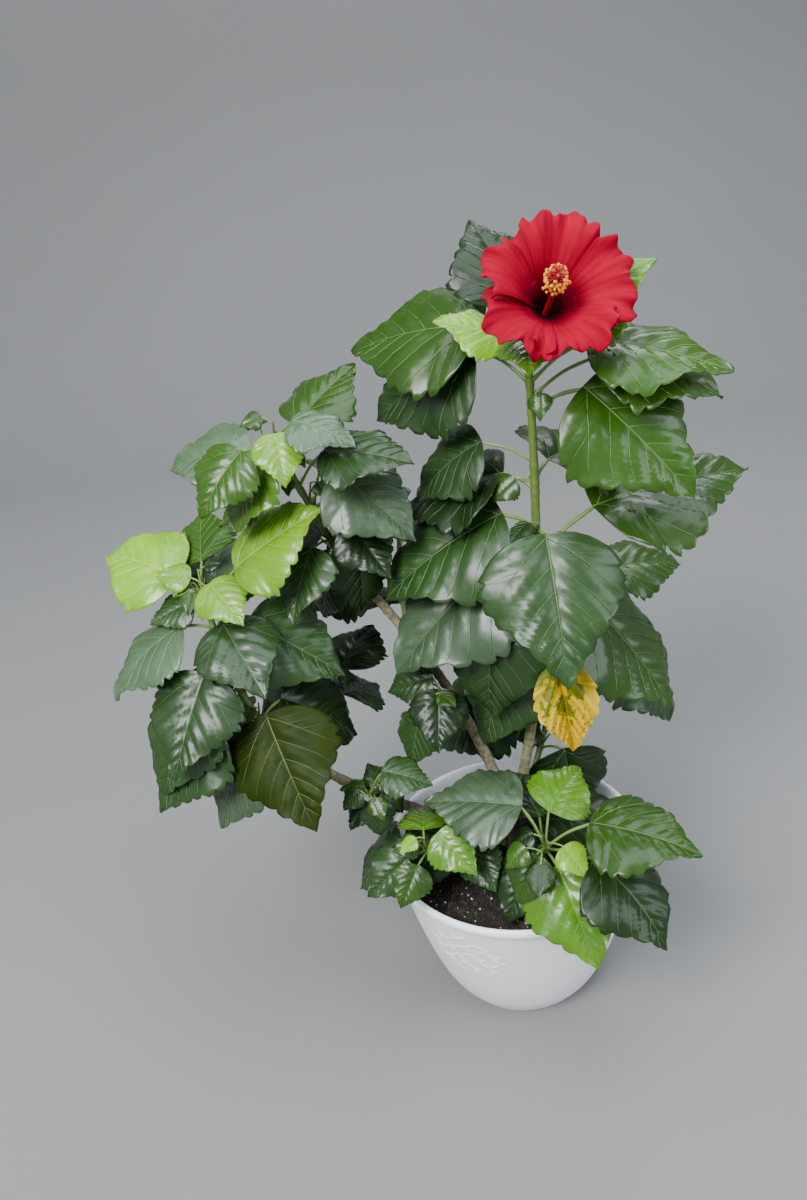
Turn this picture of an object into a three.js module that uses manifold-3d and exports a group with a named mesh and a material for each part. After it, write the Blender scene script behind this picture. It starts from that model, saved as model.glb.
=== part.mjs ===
// A potted hibiscus shrub. Millimetres, +Z up, origin at the centre of the pot's underside.
// The plant faces -Y, towards the light.
import * as THREE from 'three';
import Module from 'manifold-3d';
import { mergeVertices } from 'three/addons/utils/BufferGeometryUtils.js';

const wasm = await Module();
wasm.setup();

// Fit
const CLEAR = 0.3;
const SUNK = 2.5;

// Pot
const POT_HEIGHT = 145;
const RIM_RADIUS = 110;
const FOOT_RADIUS = 64;
const FOOT_HEIGHT = 6;
const FOOT_STEP = 2;
const WALL = 2.6;
const FLOOR = 4;
const WALL_SWELL = 0.66;
const WALL_STEPS = 6;
const POT_SIDES = 36;
const LIP_HEIGHT = 9;
const LIP_OUT = 2.4;
const DRAIN_COUNT = 5;
const DRAIN_RADIUS = 5;
const DRAIN_RING = 34;
const SOIL_LEVEL = 130;

// Trunk and boughs: heading in degrees from +X, lean in degrees from upright, foot to tip
const FORK = [0, 0, 165];
const LOW_FORK = [0, 0, 150];
const TRUNK_FLARE = 13;
const TRUNK_RADIUS = 8;
const TRUNK_NECK = 6.5;
const FORK_STUB = 24;
const STUB = 14;
const SPUR = 9;
const ROOTED = 8;
const SOCKET = 4;
const LIMB_STEPS = 8;
const LIMB_SIDES = 8;
const STEM_SIDES = 6;
const BOUGHS = {
  tall: { start: FORK, heading: [10, 20], lean: [16, 6], length: 140, radius: [4.6, 3.9] },
  left_high: { start: FORK, heading: [140, 165], lean: [18, 40], length: 250, radius: [4.7, 3.4] },
  left_low: { start: LOW_FORK, heading: [181, 190], lean: [70, 38], length: 235, radius: [4.9, 3.5] },
};

// Flower: its foot on the pedicel, the way it faces, and its petals
const FLOWER_FOOT = [41, 17.5, 573.5];
const FLOWER_HEADING = 276;
const FLOWER_LEAN = 51;
const CALYX_LENGTH = 15;
const CALYX_RADIUS = [2.2, 5.2];
const PETALS = 5;
const PETAL_TURN = 42;
const PETAL_REACH = 48;
const PETAL_WIDTH = 37;
const PETAL_RISE = 41;
const PETAL_FLARE = 1.6;
const PETAL_SLOPE = 1.5;
const PETAL_OVERLAP = 5;
const PETAL_THICK = 1.2;
const COLUMN_LENGTH = 56;
const STALK_BACK = 7;
const COLUMN_RADIUS = 1.7;
const ANTHER_RADIUS = 8.5;

// Growth of the leaves
const LIGHT = unit([-0.12, -0.80, 0.60]);
const LEVEL_LIGHT = unit([-0.12, -0.80, 0]);
const DIVERGENCE = 137.5;
const PARTING = 24;
const SPREAD = 74;
const DROOP = 36;
const DROOP_TO_LIGHT = 30;
const BLADE_WIDTH = 0.43;
const BLADE_THICK = 0.0105;
const STATIONS = [0.1, 0.34, 0.62, 0.86];
const FEW_STATIONS = [0.14, 0.46, 0.8];
const FEWEST_STATIONS = [0.2, 0.66];
const SMALL_LEAF = 75;
const TINY_LEAF = 45;
const ASIDE = [0, 22, -22, 44, -44, 66, -66];
const GROUND = 8;
const RIM_ROOM = 3;

// Foliage, each mass one stem with flushes of leaves along it.
// A flush: how many leaves, from and to along the stem, leaf size, lift of the blades in degrees,
// turn of its first leaf, seed.
const MASSES = {
  foliage_tall: {
    limb: 'tall', heading: [20, 20], lean: [4, -2], length: 262, radius: [3.9, 2.6], pedicel: true,
    flushes: [
      { leaves: 1, from: 0.1, to: 0.1, size: 63, lift: -24, turn: 40, seed: 1616 },
      { leaves: 2, from: 0.08, to: 0.22, size: 81, lift: -8, turn: 200, seed: 86 },
      { leaves: 1, from: 0.05, to: 0.05, size: 75, lift: -8, turn: 280, seed: 270 },
      { leaves: 2, from: 0.24, to: 0.3, size: 113, lift: -8, turn: 140, seed: 439 },
      { leaves: 2, from: 0.34, to: 0.46, size: 110, lift: 15, turn: 240, seed: 270 },
      { leaves: 2, from: 0.38, to: 0.48, size: 112, lift: 15, turn: 120, seed: 364 },
      { leaves: 2, from: 0.5, to: 0.6, size: 115, lift: -8, turn: 120, seed: 1810 },
      { leaves: 2, from: 0.62, to: 0.68, size: 85, lift: -3, turn: 140, seed: 2832 },
      { leaves: 2, from: 0.82, to: 0.9, size: 115, lift: 10, turn: 60, seed: 1628 },
      { leaves: 2, from: 0.9, to: 0.95, size: 99, lift: 20, turn: 100, seed: 305 },
      { leaves: 2, from: 0.94, to: 0.98, size: 78, lift: 55, turn: 80, seed: 596 },
      { leaves: 2, from: 0.97, to: 1.0, size: 52, lift: 40, turn: 240, seed: 532 },
      { leaves: 1, from: 0.86, to: 0.86, size: 80, lift: 10, turn: 140, seed: 1128 },
    ],
  },
  foliage_front_right: {
    limb: 'trunk', start: [8, -8, 152], heading: [280, 272], lean: [72, 40], length: 85, radius: [2.6, 1.8],
    flushes: [
      { leaves: 2, from: 0.4, to: 0.62, size: 92, lift: 12, turn: 340, seed: 1472 },
      { leaves: 2, from: 0.62, to: 0.78, size: 66, lift: 17, turn: 40, seed: 92 },
      { leaves: 2, from: 0.86, to: 0.94, size: 84, lift: 27, turn: 40, seed: 562 },
      { leaves: 2, from: 0.97, to: 1, size: 50, lift: 20, turn: 220, seed: 347 },
      { leaves: 2, from: 0.25, to: 0.6, size: 68, lift: -22, turn: 260, seed: 577 },
      { leaves: 1, from: 0.96, to: 0.96, size: 74, lift: 4, turn: 220, seed: 1488 },
      { leaves: 1, from: 0.8, to: 0.8, size: 82, lift: 20, turn: 140, seed: 324 },
    ],
  },
  foliage_front_left: {
    limb: 'trunk', start: [-10, -6, 150], heading: [222, 215], lean: [76, 45], length: 100, radius: [2.4, 1.6],
    flushes: [
      { leaves: 1, from: 0.34, to: 0.34, size: 55, lift: 12, turn: 0, seed: 978 },
      { leaves: 2, from: 0.58, to: 0.74, size: 66, lift: 0, turn: 40, seed: 972 },
      { leaves: 2, from: 0.84, to: 0.92, size: 44, lift: 22, turn: 180, seed: 1927 },
      { leaves: 2, from: 0.96, to: 1, size: 38, lift: 15, turn: 0, seed: 1173 },
      { leaves: 2, from: 0.45, to: 0.9, size: 60, lift: 7, turn: 200, seed: 1267 },
      { leaves: 2, from: 0.15, to: 0.5, size: 44, lift: 17, turn: 200, seed: 1195 },
    ],
  },
  foliage_left_high: {
    limb: 'left_high', heading: [200, 215], lean: [24, 18], length: 140, radius: [3.4, 2.0],
    flushes: [
      { leaves: 2, from: 0.03, to: 0.2, size: 54, lift: -8, turn: 240, seed: 190 },
      { leaves: 2, from: 0.06, to: 0.3, size: 70, lift: 10, turn: 200, seed: 561 },
      { leaves: 2, from: 0.3, to: 0.5, size: 56, lift: 10, turn: 20, seed: 1155 },
      { leaves: 2, from: 0.55, to: 0.66, size: 70, lift: 20, turn: 80, seed: 332 },
      { leaves: 2, from: 0.68, to: 0.8, size: 80, lift: 25, turn: 60, seed: 342 },
      { leaves: 2, from: 0.84, to: 0.92, size: 68, lift: 22, turn: 140, seed: 660 },
      { leaves: 2, from: 0.86, to: 0.97, size: 60, lift: 22, turn: 280, seed: 827 },
      { leaves: 2, from: 0.95, to: 1.0, size: 42, lift: 30, turn: 200, seed: 1352 },
    ],
  },
  foliage_left_low: {
    limb: 'left_low', heading: [150, 110], lean: [34, 18], length: 130, radius: [3.5, 2.0],
    flushes: [
      { leaves: 2, from: 0.0, to: 0.1, size: 90, lift: 10, turn: 240, seed: 466 },
      { leaves: 2, from: 0.05, to: 0.35, size: 72, lift: 0, turn: 200, seed: 365 },
      { leaves: 2, from: 0.12, to: 0.26, size: 95, lift: -8, turn: 120, seed: 2330 },
      { leaves: 2, from: 0.15, to: 0.42, size: 41, lift: 10, turn: 60, seed: 2198 },
      { leaves: 2, from: 0.45, to: 0.6, size: 85, lift: 20, turn: 320, seed: 669 },
      { leaves: 2, from: 0.55, to: 0.75, size: 86, lift: 10, turn: 100, seed: 1271 },
      { leaves: 2, from: 0.7, to: 0.82, size: 77, lift: 20, turn: 40, seed: 513 },
      { leaves: 2, from: 0.85, to: 0.93, size: 90, lift: 45, turn: 80, seed: 1127 },
      { leaves: 2, from: 0.95, to: 1.0, size: 54, lift: 35, turn: 20, seed: 263 },
      { leaves: 2, from: 0.5, to: 0.9, size: 42, lift: 22, turn: 80, seed: 1654 },
    ],
  },
  foliage_inner_high: {
    limb: 'left_high', at: 0.5, heading: [250, 250], lean: [70, 60], length: 35, radius: [1.8, 1.3],
    flushes: [
      { leaves: 2, from: 0.35, to: 0.6, size: 33, lift: -5, turn: 60, seed: 799 },
      { leaves: 2, from: 0.68, to: 0.84, size: 44, lift: -5, turn: 60, seed: 1191 },
      { leaves: 1, from: 1, to: 1, size: 55, lift: 17, turn: 60, seed: 772 },
    ],
  },
  foliage_inner_low: {
    limb: 'left_low', at: 0.5, heading: [250, 230], lean: [45, 40], length: 35, radius: [1.8, 1.3],
    flushes: [
      { leaves: 2, from: 0.35, to: 0.55, size: 30, lift: 22, turn: 120, seed: 702 },
      { leaves: 2, from: 0.65, to: 0.8, size: 34, lift: 0, turn: 20, seed: 1162 },
      { leaves: 2, from: 0.9, to: 1, size: 38, lift: 10, turn: 320, seed: 1053 },
    ],
  },
  foliage_back_right: {
    limb: 'trunk', start: [6, 10, 160], heading: [50, 60], lean: [48, 22], length: 200, radius: [3.0, 1.9],
    flushes: [
      { leaves: 3, from: 0.3, to: 0.5, size: 90, lift: -8, turn: 20, seed: 952 },
      { leaves: 3, from: 0.56, to: 0.78, size: 95, lift: -8, turn: 200, seed: 609 },
      { leaves: 3, from: 0.86, to: 1.0, size: 81, lift: 20, turn: 200, seed: 504 },
    ],
  },
  foliage_back_high: {
    limb: 'left_high', at: 0.75, heading: [95, 80], lean: [60, 35], length: 100, radius: [2.2, 1.5],
    flushes: [
      { leaves: 3, from: 0.3, to: 0.65, size: 80, lift: 10, turn: 160, seed: 76 },
      { leaves: 3, from: 0.75, to: 1.0, size: 68, lift: 30, turn: 200, seed: 334 },
    ],
  },
  foliage_back_low: {
    limb: 'left_low', at: 0.75, heading: [80, 100], lean: [55, 30], length: 80, radius: [2.2, 1.5],
    flushes: [
      { leaves: 3, from: 0.3, to: 0.7, size: 75, lift: 0, turn: 220, seed: 586 },
      { leaves: 3, from: 0.8, to: 1.0, size: 65, lift: 20, turn: 120, seed: 598 },
    ],
  },
};

// Colours
const LOOKS = {
  pot: [0xe9e8e3, 0.45],
  soil: [0x2b2420, 0.95],
  bark: [0x8a7357, 0.85],
  leaf: [0x2f6a2c, 0.5],
  petal: [0xc4101c, 0.6],
  column: [0xe58a1e, 0.6],
};

// Vectors as plain arrays
function add(a, b, k = 1) { return [a[0] + b[0] * k, a[1] + b[1] * k, a[2] + b[2] * k]; }
function scale(a, k) { return [a[0] * k, a[1] * k, a[2] * k]; }
function dot(a, b) { return a[0] * b[0] + a[1] * b[1] + a[2] * b[2]; }
function cross(a, b) {
  return [a[1] * b[2] - a[2] * b[1], a[2] * b[0] - a[0] * b[2], a[0] * b[1] - a[1] * b[0]];
}
function unit(a) { return scale(a, 1 / Math.hypot(a[0], a[1], a[2])); }
function rad(degrees) { return degrees * Math.PI / 180; }
function mix(a, b, t) { return a + (b - a) * t; }
function toward(heading, lean) {
  const h = rad(heading);
  const l = rad(lean);
  return [Math.sin(l) * Math.cos(h), Math.sin(l) * Math.sin(h), Math.cos(l)];
}

// Seeded draws between 0 and 1
function draws(seed) {
  let x = seed;
  const next = () => {
    x = (x * 16807) % 2147483647;
    return x / 2147483647;
  };
  for (let k = 0; k < 3; k++) next();
  return next;
}

// The course of a limb or stem: its heading and lean change evenly from foot to tip
function course(limb) {
  const points = [limb.start];
  for (let k = 0; k < LIMB_STEPS; k++) {
    const s = (k + 0.5) / LIMB_STEPS;
    const way = toward(mix(...limb.heading, s), mix(...limb.lean, s));
    points.push(add(points[k], way, limb.length / LIMB_STEPS));
  }
  return points;
}

function along(points, t) {
  const f = Math.min(Math.max(t, 0), 1) * (points.length - 1);
  const k = Math.min(Math.floor(f), points.length - 2);
  const step = add(points[k + 1], points[k], -1);
  return { at: add(points[k], step, f - k), way: unit(step) };
}

// The part of a limb between two lengths from its foot, as points, ways and radii
function stretch(limb, from, to) {
  const points = course(limb);
  const steps = Math.max(1, Math.round((to - from) / limb.length * LIMB_STEPS));
  const out = { points: [], radii: [], ways: [] };
  for (let k = 0; k <= steps; k++) {
    const t = mix(from, to, k / steps) / limb.length;
    const { at, way } = along(points, t);
    out.points.push(at);
    out.ways.push(way);
    out.radii.push(mix(...limb.radius, t));
  }
  return out;
}

// Closed solids
function solid(geometry) {
  geometry.deleteAttribute('normal');
  geometry.deleteAttribute('uv');
  const merged = mergeVertices(geometry, 1e-4);
  const mesh = new wasm.Mesh({
    numProp: 3,
    vertProperties: new Float32Array(merged.attributes.position.array),
    triVerts: new Uint32Array(merged.index.array),
  });
  return new wasm.Manifold(mesh);
}

function solidOf(vertices, faces) {
  const geometry = new THREE.BufferGeometry();
  geometry.setAttribute('position', new THREE.Float32BufferAttribute(vertices.flat(), 3));
  geometry.setIndex(faces.flat());
  return solid(geometry);
}

// A rod of rings swept along points, its rings kept from twisting; ways sets the tilt of each ring
function rod(points, radii, sides, ways = []) {
  const vertices = [];
  const faces = [];
  const last = points.length - 1;
  let across = null;
  points.forEach((p, k) => {
    const way = ways[k] ?? unit(add(points[Math.min(k + 1, last)], points[Math.max(k - 1, 0)], -1));
    const hint = across ?? (Math.abs(way[2]) < 0.9 ? [0, 0, 1] : [1, 0, 0]);
    across = unit(add(hint, way, -dot(hint, way)));
    const up = cross(way, across);
    for (let j = 0; j < sides; j++) {
      const a = 2 * Math.PI * j / sides;
      const out = add(scale(across, Math.cos(a)), up, Math.sin(a));
      vertices.push(add(p, out, radii[k]));
    }
  });
  for (let k = 0; k < last; k++) {
    for (let j = 0; j < sides; j++) {
      const a = k * sides + j;
      const b = k * sides + (j + 1) % sides;
      faces.push([a, b, b + sides], [a, b + sides, a + sides]);
    }
  }
  for (let j = 1; j < sides - 1; j++) {
    faces.push([0, j + 1, j], [last * sides, last * sides + j, last * sides + j + 1]);
  }
  return solidOf(vertices, faces);
}

// A thin sheet: rows of points with their normals, its two ends drawn together in a point
function sheet(rows, ends, thick) {
  const across = rows[0].length;
  const vertices = [];
  const faces = [];
  for (const side of [0.5, -0.5]) {
    rows.forEach((row) => row.forEach((s) => vertices.push(add(s.at, s.up, side * thick))));
    ends.forEach((s) => vertices.push(add(s.at, s.up, side * thick)));
  }
  const layer = rows.length * across + 2;
  const grid = (side, k, j) => side * layer + k * across + j;
  const tip = (side, e) => side * layer + rows.length * across + e;
  const face = (side, a, b, c) => faces.push(side ? [a, c, b] : [a, b, c]);
  for (const side of [0, 1]) {
    for (let j = 0; j < across - 1; j++) {
      face(side, tip(side, 0), grid(side, 0, j), grid(side, 0, j + 1));
      for (let k = 0; k < rows.length - 1; k++) {
        face(side, grid(side, k, j), grid(side, k + 1, j), grid(side, k + 1, j + 1));
        face(side, grid(side, k, j), grid(side, k + 1, j + 1), grid(side, k, j + 1));
      }
      const end = rows.length - 1;
      face(side, grid(side, end, j), tip(side, 1), grid(side, end, j + 1));
    }
  }
  for (const [j, flip] of [[0, true], [across - 1, false]]) {
    const edge = (side) => [
      tip(side, 0), ...rows.map((_, k) => grid(side, k, j)), tip(side, 1),
    ];
    const top = edge(0);
    const under = edge(1);
    for (let k = 0; k < top.length - 1; k++) {
      const quad = [[top[k], under[k], under[k + 1]], [top[k], under[k + 1], top[k + 1]]];
      quad.forEach(([a, b, c]) => faces.push(flip ? [a, b, c] : [a, c, b]));
    }
  }
  return solidOf(vertices, faces);
}

// Several solids fused, with loose scrap dropped and sealed hollows filled
function fuse(parts) {
  const whole = parts.reduce((sum, part) => sum.add(part));
  const bodies = whole.decompose();
  return bodies.reduce((big, body) => (body.volume() > big.volume() ? body : big));
}

function node(name, body, look) {
  const mesh = body.getMesh();
  const geometry = new THREE.BufferGeometry();
  geometry.setAttribute('position', new THREE.BufferAttribute(mesh.vertProperties, 3));
  geometry.setIndex(new THREE.BufferAttribute(mesh.triVerts, 1));
  const [color, roughness] = LOOKS[look];
  const material = new THREE.MeshStandardMaterial({ color, roughness, metalness: 0 });
  const out = new THREE.Mesh(geometry, material);
  out.name = name;
  return out;
}

// Pot and soil
function potRadius(z) {
  const t = Math.min(Math.max((z - FOOT_HEIGHT) / (POT_HEIGHT - FOOT_HEIGHT), 0), 1);
  return mix(FOOT_RADIUS, RIM_RADIUS - LIP_OUT, Math.pow(t, WALL_SWELL));
}

function wallHeights(from, to) {
  return Array.from({ length: WALL_STEPS }, (_, k) => mix(from, to, k / (WALL_STEPS - 1)));
}

function lathe(profile) {
  const points = profile.map(([r, z]) => new THREE.Vector2(r, z));
  const geometry = new THREE.LatheGeometry(points, POT_SIDES);
  geometry.rotateX(Math.PI / 2);
  return solid(geometry);
}

function pot() {
  const lipFoot = POT_HEIGHT - LIP_HEIGHT;
  const outside = wallHeights(FOOT_HEIGHT, lipFoot).map((z) => [potRadius(z), z]);
  const inside = wallHeights(POT_HEIGHT - 1.5, FLOOR + 6).map((z) => [potRadius(z) - WALL, z]);
  const profile = [
    [0, 0], [FOOT_RADIUS - FOOT_STEP, 0], [FOOT_RADIUS - FOOT_STEP, FOOT_HEIGHT - 1],
    ...outside,
    [RIM_RADIUS - 0.6, lipFoot + 1.2], [RIM_RADIUS, lipFoot + 4],
    [RIM_RADIUS - 0.5, POT_HEIGHT - 1.5], [RIM_RADIUS - 1.8, POT_HEIGHT],
    [RIM_RADIUS - LIP_OUT - WALL + 1, POT_HEIGHT],
    ...inside,
    [FOOT_RADIUS - WALL - 4, FLOOR], [0, FLOOR],
  ];
  let body = lathe(profile);
  for (let k = 0; k < DRAIN_COUNT; k++) {
    const a = 2 * Math.PI * (k + 0.25) / DRAIN_COUNT;
    const drain = new THREE.CylinderGeometry(DRAIN_RADIUS, DRAIN_RADIUS, 4 * FLOOR, 16);
    drain.rotateX(Math.PI / 2);
    drain.translate(DRAIN_RING * Math.cos(a), DRAIN_RING * Math.sin(a), 0);
    body = body.subtract(solid(drain));
  }
  return body;
}

function soil() {
  const side = wallHeights(FLOOR + 6, SOIL_LEVEL).map((z) => [potRadius(z) - WALL - CLEAR, z]);
  return lathe([
    [0, FLOOR + CLEAR], [FOOT_RADIUS - WALL - 5, FLOOR + CLEAR], ...side, [0, SOIL_LEVEL],
  ]);
}

// Trunk and boughs
function trunk() {
  const foot = SOIL_LEVEL + CLEAR;
  const heights = [foot, foot + 4, foot + 12, LOW_FORK[2] + 4, FORK[2] + 3];
  const radii = [TRUNK_FLARE, TRUNK_RADIUS + 1.6, TRUNK_RADIUS, mix(TRUNK_RADIUS, TRUNK_NECK, 0.6),
    TRUNK_NECK - 1];
  const stump = rod(heights.map((z) => [0, 0, z]), radii, 12);
  const stubs = Object.values(BOUGHS).map((limb) => stub(limb, FORK_STUB));
  const shoots = Object.values(MASSES).filter((m) => m.limb === 'trunk').map((m) => stub(m, STUB));
  return fuse([stump, ...stubs, ...shoots]);
}

function stub(limb, length) {
  const { points, radii, ways } = stretch(limb, 0, length);
  points.unshift(add(points[0], ways[0], -ROOTED));
  radii.unshift(radii[0]);
  ways.unshift(ways[0]);
  return rod(points, radii.map((r) => r + 0.4), LIMB_SIDES, ways);
}

function bough(name) {
  const limb = BOUGHS[name];
  const { points, radii, ways } = stretch(limb, FORK_STUB + CLEAR, limb.length - SOCKET);
  const spurs = Object.values(MASSES).filter((m) => m.limb === name && m.at)
    .map((m) => stub(rooted(m), SPUR));
  return fuse([rod(points, radii, LIMB_SIDES, ways), ...spurs]);
}

// Where a mass starts: at a point of its own, at a bough's tip, or at a spur along a bough
function rooted(mass) {
  if (mass.limb === 'trunk') return mass;
  const limb = BOUGHS[mass.limb];
  const { at, way } = along(course(limb), mass.at ?? 1);
  return { ...mass, start: at, limbWay: way };
}

// One leaf of a flush, by its order: where it is held and how its blade lies
function leafPlace(points, flush, i, chance, aside) {
  const q = flush.leaves > 1 ? i / (flush.leaves - 1) : 1;
  const { at, way } = along(points, mix(flush.from, flush.to, q));
  const turn = rad(flush.turn + DIVERGENCE * i + 70 * (chance[0] - 0.5) + aside);
  const parted = turn + rad(PARTING) * Math.sin(2 * turn);
  const front = unit(add(LIGHT, way, -dot(LIGHT, way)));
  const side = unit(cross(way, LIGHT));
  const out = add(scale(front, Math.cos(parted)), side, Math.sin(parted));
  const size = flush.size * (0.82 + 0.36 * chance[1]);
  const spread = rad(SPREAD - 0.5 * flush.lift);
  const stalk = unit(add(add(scale(way, Math.cos(spread)), out, Math.sin(spread)), LIGHT, 0.22));
  const base = add(at, stalk, size * (0.22 + 0.34 * chance[2]));
  const level = unit([stalk[0], stalk[1], 0]);
  const flat = unit(add(level, LEVEL_LIGHT, 0.25));
  const droop = rad(DROOP + DROOP_TO_LIGHT * dot(level, LEVEL_LIGHT) + 44 * (chance[3] - 0.5) - flush.lift);
  const down = add(scale(flat, Math.cos(droop)), [0, 0, -1], Math.sin(droop));
  const upright = unit(add([0, 0, 1], down, -down[2]));
  const lit = unit(add(upright, LIGHT, 0.9));
  const square = unit(add(lit, down, -dot(lit, down)));
  const roll = rad(36 * (chance[5] - 0.5));
  const up = add(scale(square, Math.cos(roll)), cross(down, square), Math.sin(roll));
  return { at, base, stalk, way: down, up, across: cross(up, down), size, bend: rad(14 + 34 * chance[4]) };
}

// A point of the blade: u from base to tip, v from edge to edge
function halfWidth(u) {
  return u > 0 && u < 1 ? Math.pow(u, 0.45) * Math.pow(1 - u, 0.92) / 0.4205 : 0;
}

function bladePoint(leaf, u, v) {
  const b = leaf.bend;
  const up = add(scale(leaf.up, Math.cos(b * u)), leaf.way, Math.sin(b * u));
  const rib = add(add(leaf.base, leaf.way, leaf.size * Math.sin(b * u) / b),
    leaf.up, -leaf.size * (1 - Math.cos(b * u)) / b);
  const y = v * BLADE_WIDTH * leaf.size * halfWidth(u);
  const lift = 0.22 * Math.abs(y) - 0.9 * y * y / leaf.size;
  return { at: add(add(rib, leaf.across, y), up, lift), up };
}

function blade(leaf) {
  const few = leaf.size < TINY_LEAF ? FEWEST_STATIONS : FEW_STATIONS;
  const stations = leaf.size < SMALL_LEAF ? few : STATIONS;
  const rows = stations.map((u) => [-1, 0, 1].map((v) => bladePoint(leaf, u, v)));
  return sheet(rows, [bladePoint(leaf, 0, 0), bladePoint(leaf, 1, 0)], BLADE_THICK * leaf.size);
}

function stalkPoints(leaf) {
  const reach = Math.hypot(...add(leaf.base, leaf.at, -1));
  const knee = add(add(leaf.at, leaf.stalk, 0.5 * reach), [0, 0, 1], 0.06 * reach);
  return [leaf.at, knee, bladePoint(leaf, 0.06, 0).at];
}

function stalkRadius(leaf) { return 0.7 + 0.006 * leaf.size; }

// Room: every blade and stalk is held as spots, and a new leaf keeps clear of those there already
function leafSpots(leaf, owner) {
  const spots = [];
  const bladeRoom = 1.2 + 0.018 * leaf.size;
  for (let k = 0; k <= 10; k++) {
    for (let j = -4; j <= 4; j++) {
      if ((k === 0 || k === 10) && j !== 0) continue;
      spots.push({ at: bladePoint(leaf, k / 10, j / 4).at, radius: bladeRoom, owner, kind: 'blade' });
    }
  }
  const [foot, knee, end] = stalkPoints(leaf);
  for (const t of [0.4, 0.6, 0.8, 1]) {
    spots.push({ at: along([foot, knee], t).at, radius: 2, owner, kind: 'stalk' });
    spots.push({ at: along([knee, end], t - 0.2).at, radius: 2, owner, kind: 'stalk' });
  }
  return spots;
}

function limbSpots(points, radii, owner) {
  const spots = [];
  for (let k = 0; k < points.length - 1; k++) {
    const reach = Math.hypot(...add(points[k + 1], points[k], -1));
    const steps = Math.max(1, Math.ceil(reach / 4));
    for (let j = 0; j < steps; j++) {
      const at = along([points[k], points[k + 1]], j / steps).at;
      spots.push({ at, radius: radii[k] + 1, owner, kind: 'limb' });
    }
  }
  return spots;
}

function clearOfPot(at) {
  const r = Math.hypot(at[0], at[1]);
  if (at[2] < GROUND) return false;
  if (at[2] > POT_HEIGHT + RIM_ROOM) return true;
  if (at[2] > SOIL_LEVEL + RIM_ROOM && r < RIM_RADIUS - 2 * WALL - RIM_ROOM) return true;
  return r > potRadius(at[2]) + LIP_OUT + RIM_ROOM;
}

function hasRoom(spots, taken) {
  return spots.every((s) => clearOfPot(s.at) && taken.every((t) => {
    if (t.kind === 'limb' && t.owner === s.owner && s.kind === 'stalk') return true;
    const d = add(s.at, t.at, -1);
    const gap = s.radius + t.radius;
    return d[0] * d[0] + d[1] * d[1] + d[2] * d[2] > gap * gap;
  }));
}

// The leaves of all masses, in the order they are named, each turned aside where its place is taken
function growLeaves(taken) {
  const grown = {};
  for (const [name, plan] of Object.entries(MASSES)) {
    const mass = rooted(plan);
    const points = course(mass);
    grown[name] = { mass, leaves: [] };
    for (const flush of mass.flushes) {
      const next = draws(flush.seed);
      for (let i = 0; i < flush.leaves; i++) {
        const chance = Array.from({ length: 6 }, next);
        for (const aside of ASIDE) {
          const leaf = leafPlace(points, flush, i, chance, aside);
          const spots = leafSpots(leaf, name);
          if (!hasRoom(spots, taken)) continue;
          taken.push(...spots);
          grown[name].leaves.push(leaf);
          break;
        }
      }
    }
  }
  return grown;
}

// The stem of a mass, starting just clear of the bough's cut tip or of the stub it grows from
function massStem(mass) {
  if (mass.limb === 'trunk') return stretch(mass, STUB + CLEAR, mass.length);
  if (mass.at) return stretch(mass, SPUR + CLEAR, mass.length);
  const { points, radii, ways } = stretch(mass, 0, mass.length);
  points.unshift(add(points[0], mass.limbWay, CLEAR - SOCKET));
  radii.unshift(radii[0]);
  ways.unshift(mass.limbWay);
  ways[1] = unit(add(mass.limbWay, ways[2]));
  return { points, radii, ways };
}

function massBody({ mass, leaves }) {
  const { points, radii, ways } = massStem(mass);
  const parts = [rod(points, radii, STEM_SIDES, ways)];
  if (mass.pedicel) parts.push(pedicel(points[points.length - 1], radii[radii.length - 1]));
  for (const leaf of leaves) {
    const r = stalkRadius(leaf);
    parts.push(rod(stalkPoints(leaf), [1.15 * r, r, 0.9 * r], 3), blade(leaf));
  }
  return fuse(parts);
}

// Flower
const FACING = toward(FLOWER_HEADING, FLOWER_LEAN);
const FLOWER_SIDE = unit(cross(FACING, [0, 0, 1]));
const FLOWER_UP = cross(FLOWER_SIDE, FACING);

function pedicel(tip, radius) {
  const calyxFoot = FLOWER_FOOT;
  const behind = add(calyxFoot, FACING, -STALK_BACK);
  const mid = add(add(tip, scale(add(behind, tip, -1), 0.5)), [0, 0, 1], 2.5);
  const stalk = rod([add(tip, [0, 0, -1], SUNK), mid, behind, add(calyxFoot, FACING, 2)],
    [radius, 1.8, 1.6, 1.8], STEM_SIDES);
  const cup = [0, 0.25, 0.8, 1].map((t) => add(calyxFoot, FACING, t * CALYX_LENGTH));
  return stalk.add(rod(cup, [CALYX_RADIUS[0], 3.8, ...[CALYX_RADIUS[1], CALYX_RADIUS[1]]], 10));
}

function petalPoint(k, s, v) {
  const a = rad(PETAL_TURN + 360 * k / PETALS);
  const out = add(scale(FLOWER_SIDE, Math.cos(a)), FLOWER_UP, Math.sin(a));
  const around = cross(FACING, out);
  const rise = PETAL_RISE * (1 - Math.pow(1 - s, PETAL_FLARE));
  const reach = 3 + (PETAL_REACH - 3) * Math.pow(s, 1.15);
  const wide = PETAL_WIDTH * Math.pow(s, 0.75) * Math.sqrt(Math.max(0, 1 - Math.pow(s, 7)));
  const y = v * wide;
  const ruffle = 2.2 * s * s * v * v * Math.sin(9 * v + 5 * s + 2 * k);
  const lift = v * PETAL_OVERLAP * s + ruffle + 0.10 * y * y / PETAL_REACH;
  const foot = add(FLOWER_FOOT, FACING, CALYX_LENGTH + CLEAR + 1);
  const at = add(add(add(foot, FACING, rise + lift), out, reach), around, y);
  return { at, up: unit(add(FACING, out, -PETAL_SLOPE * (1 - s))) };
}

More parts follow.
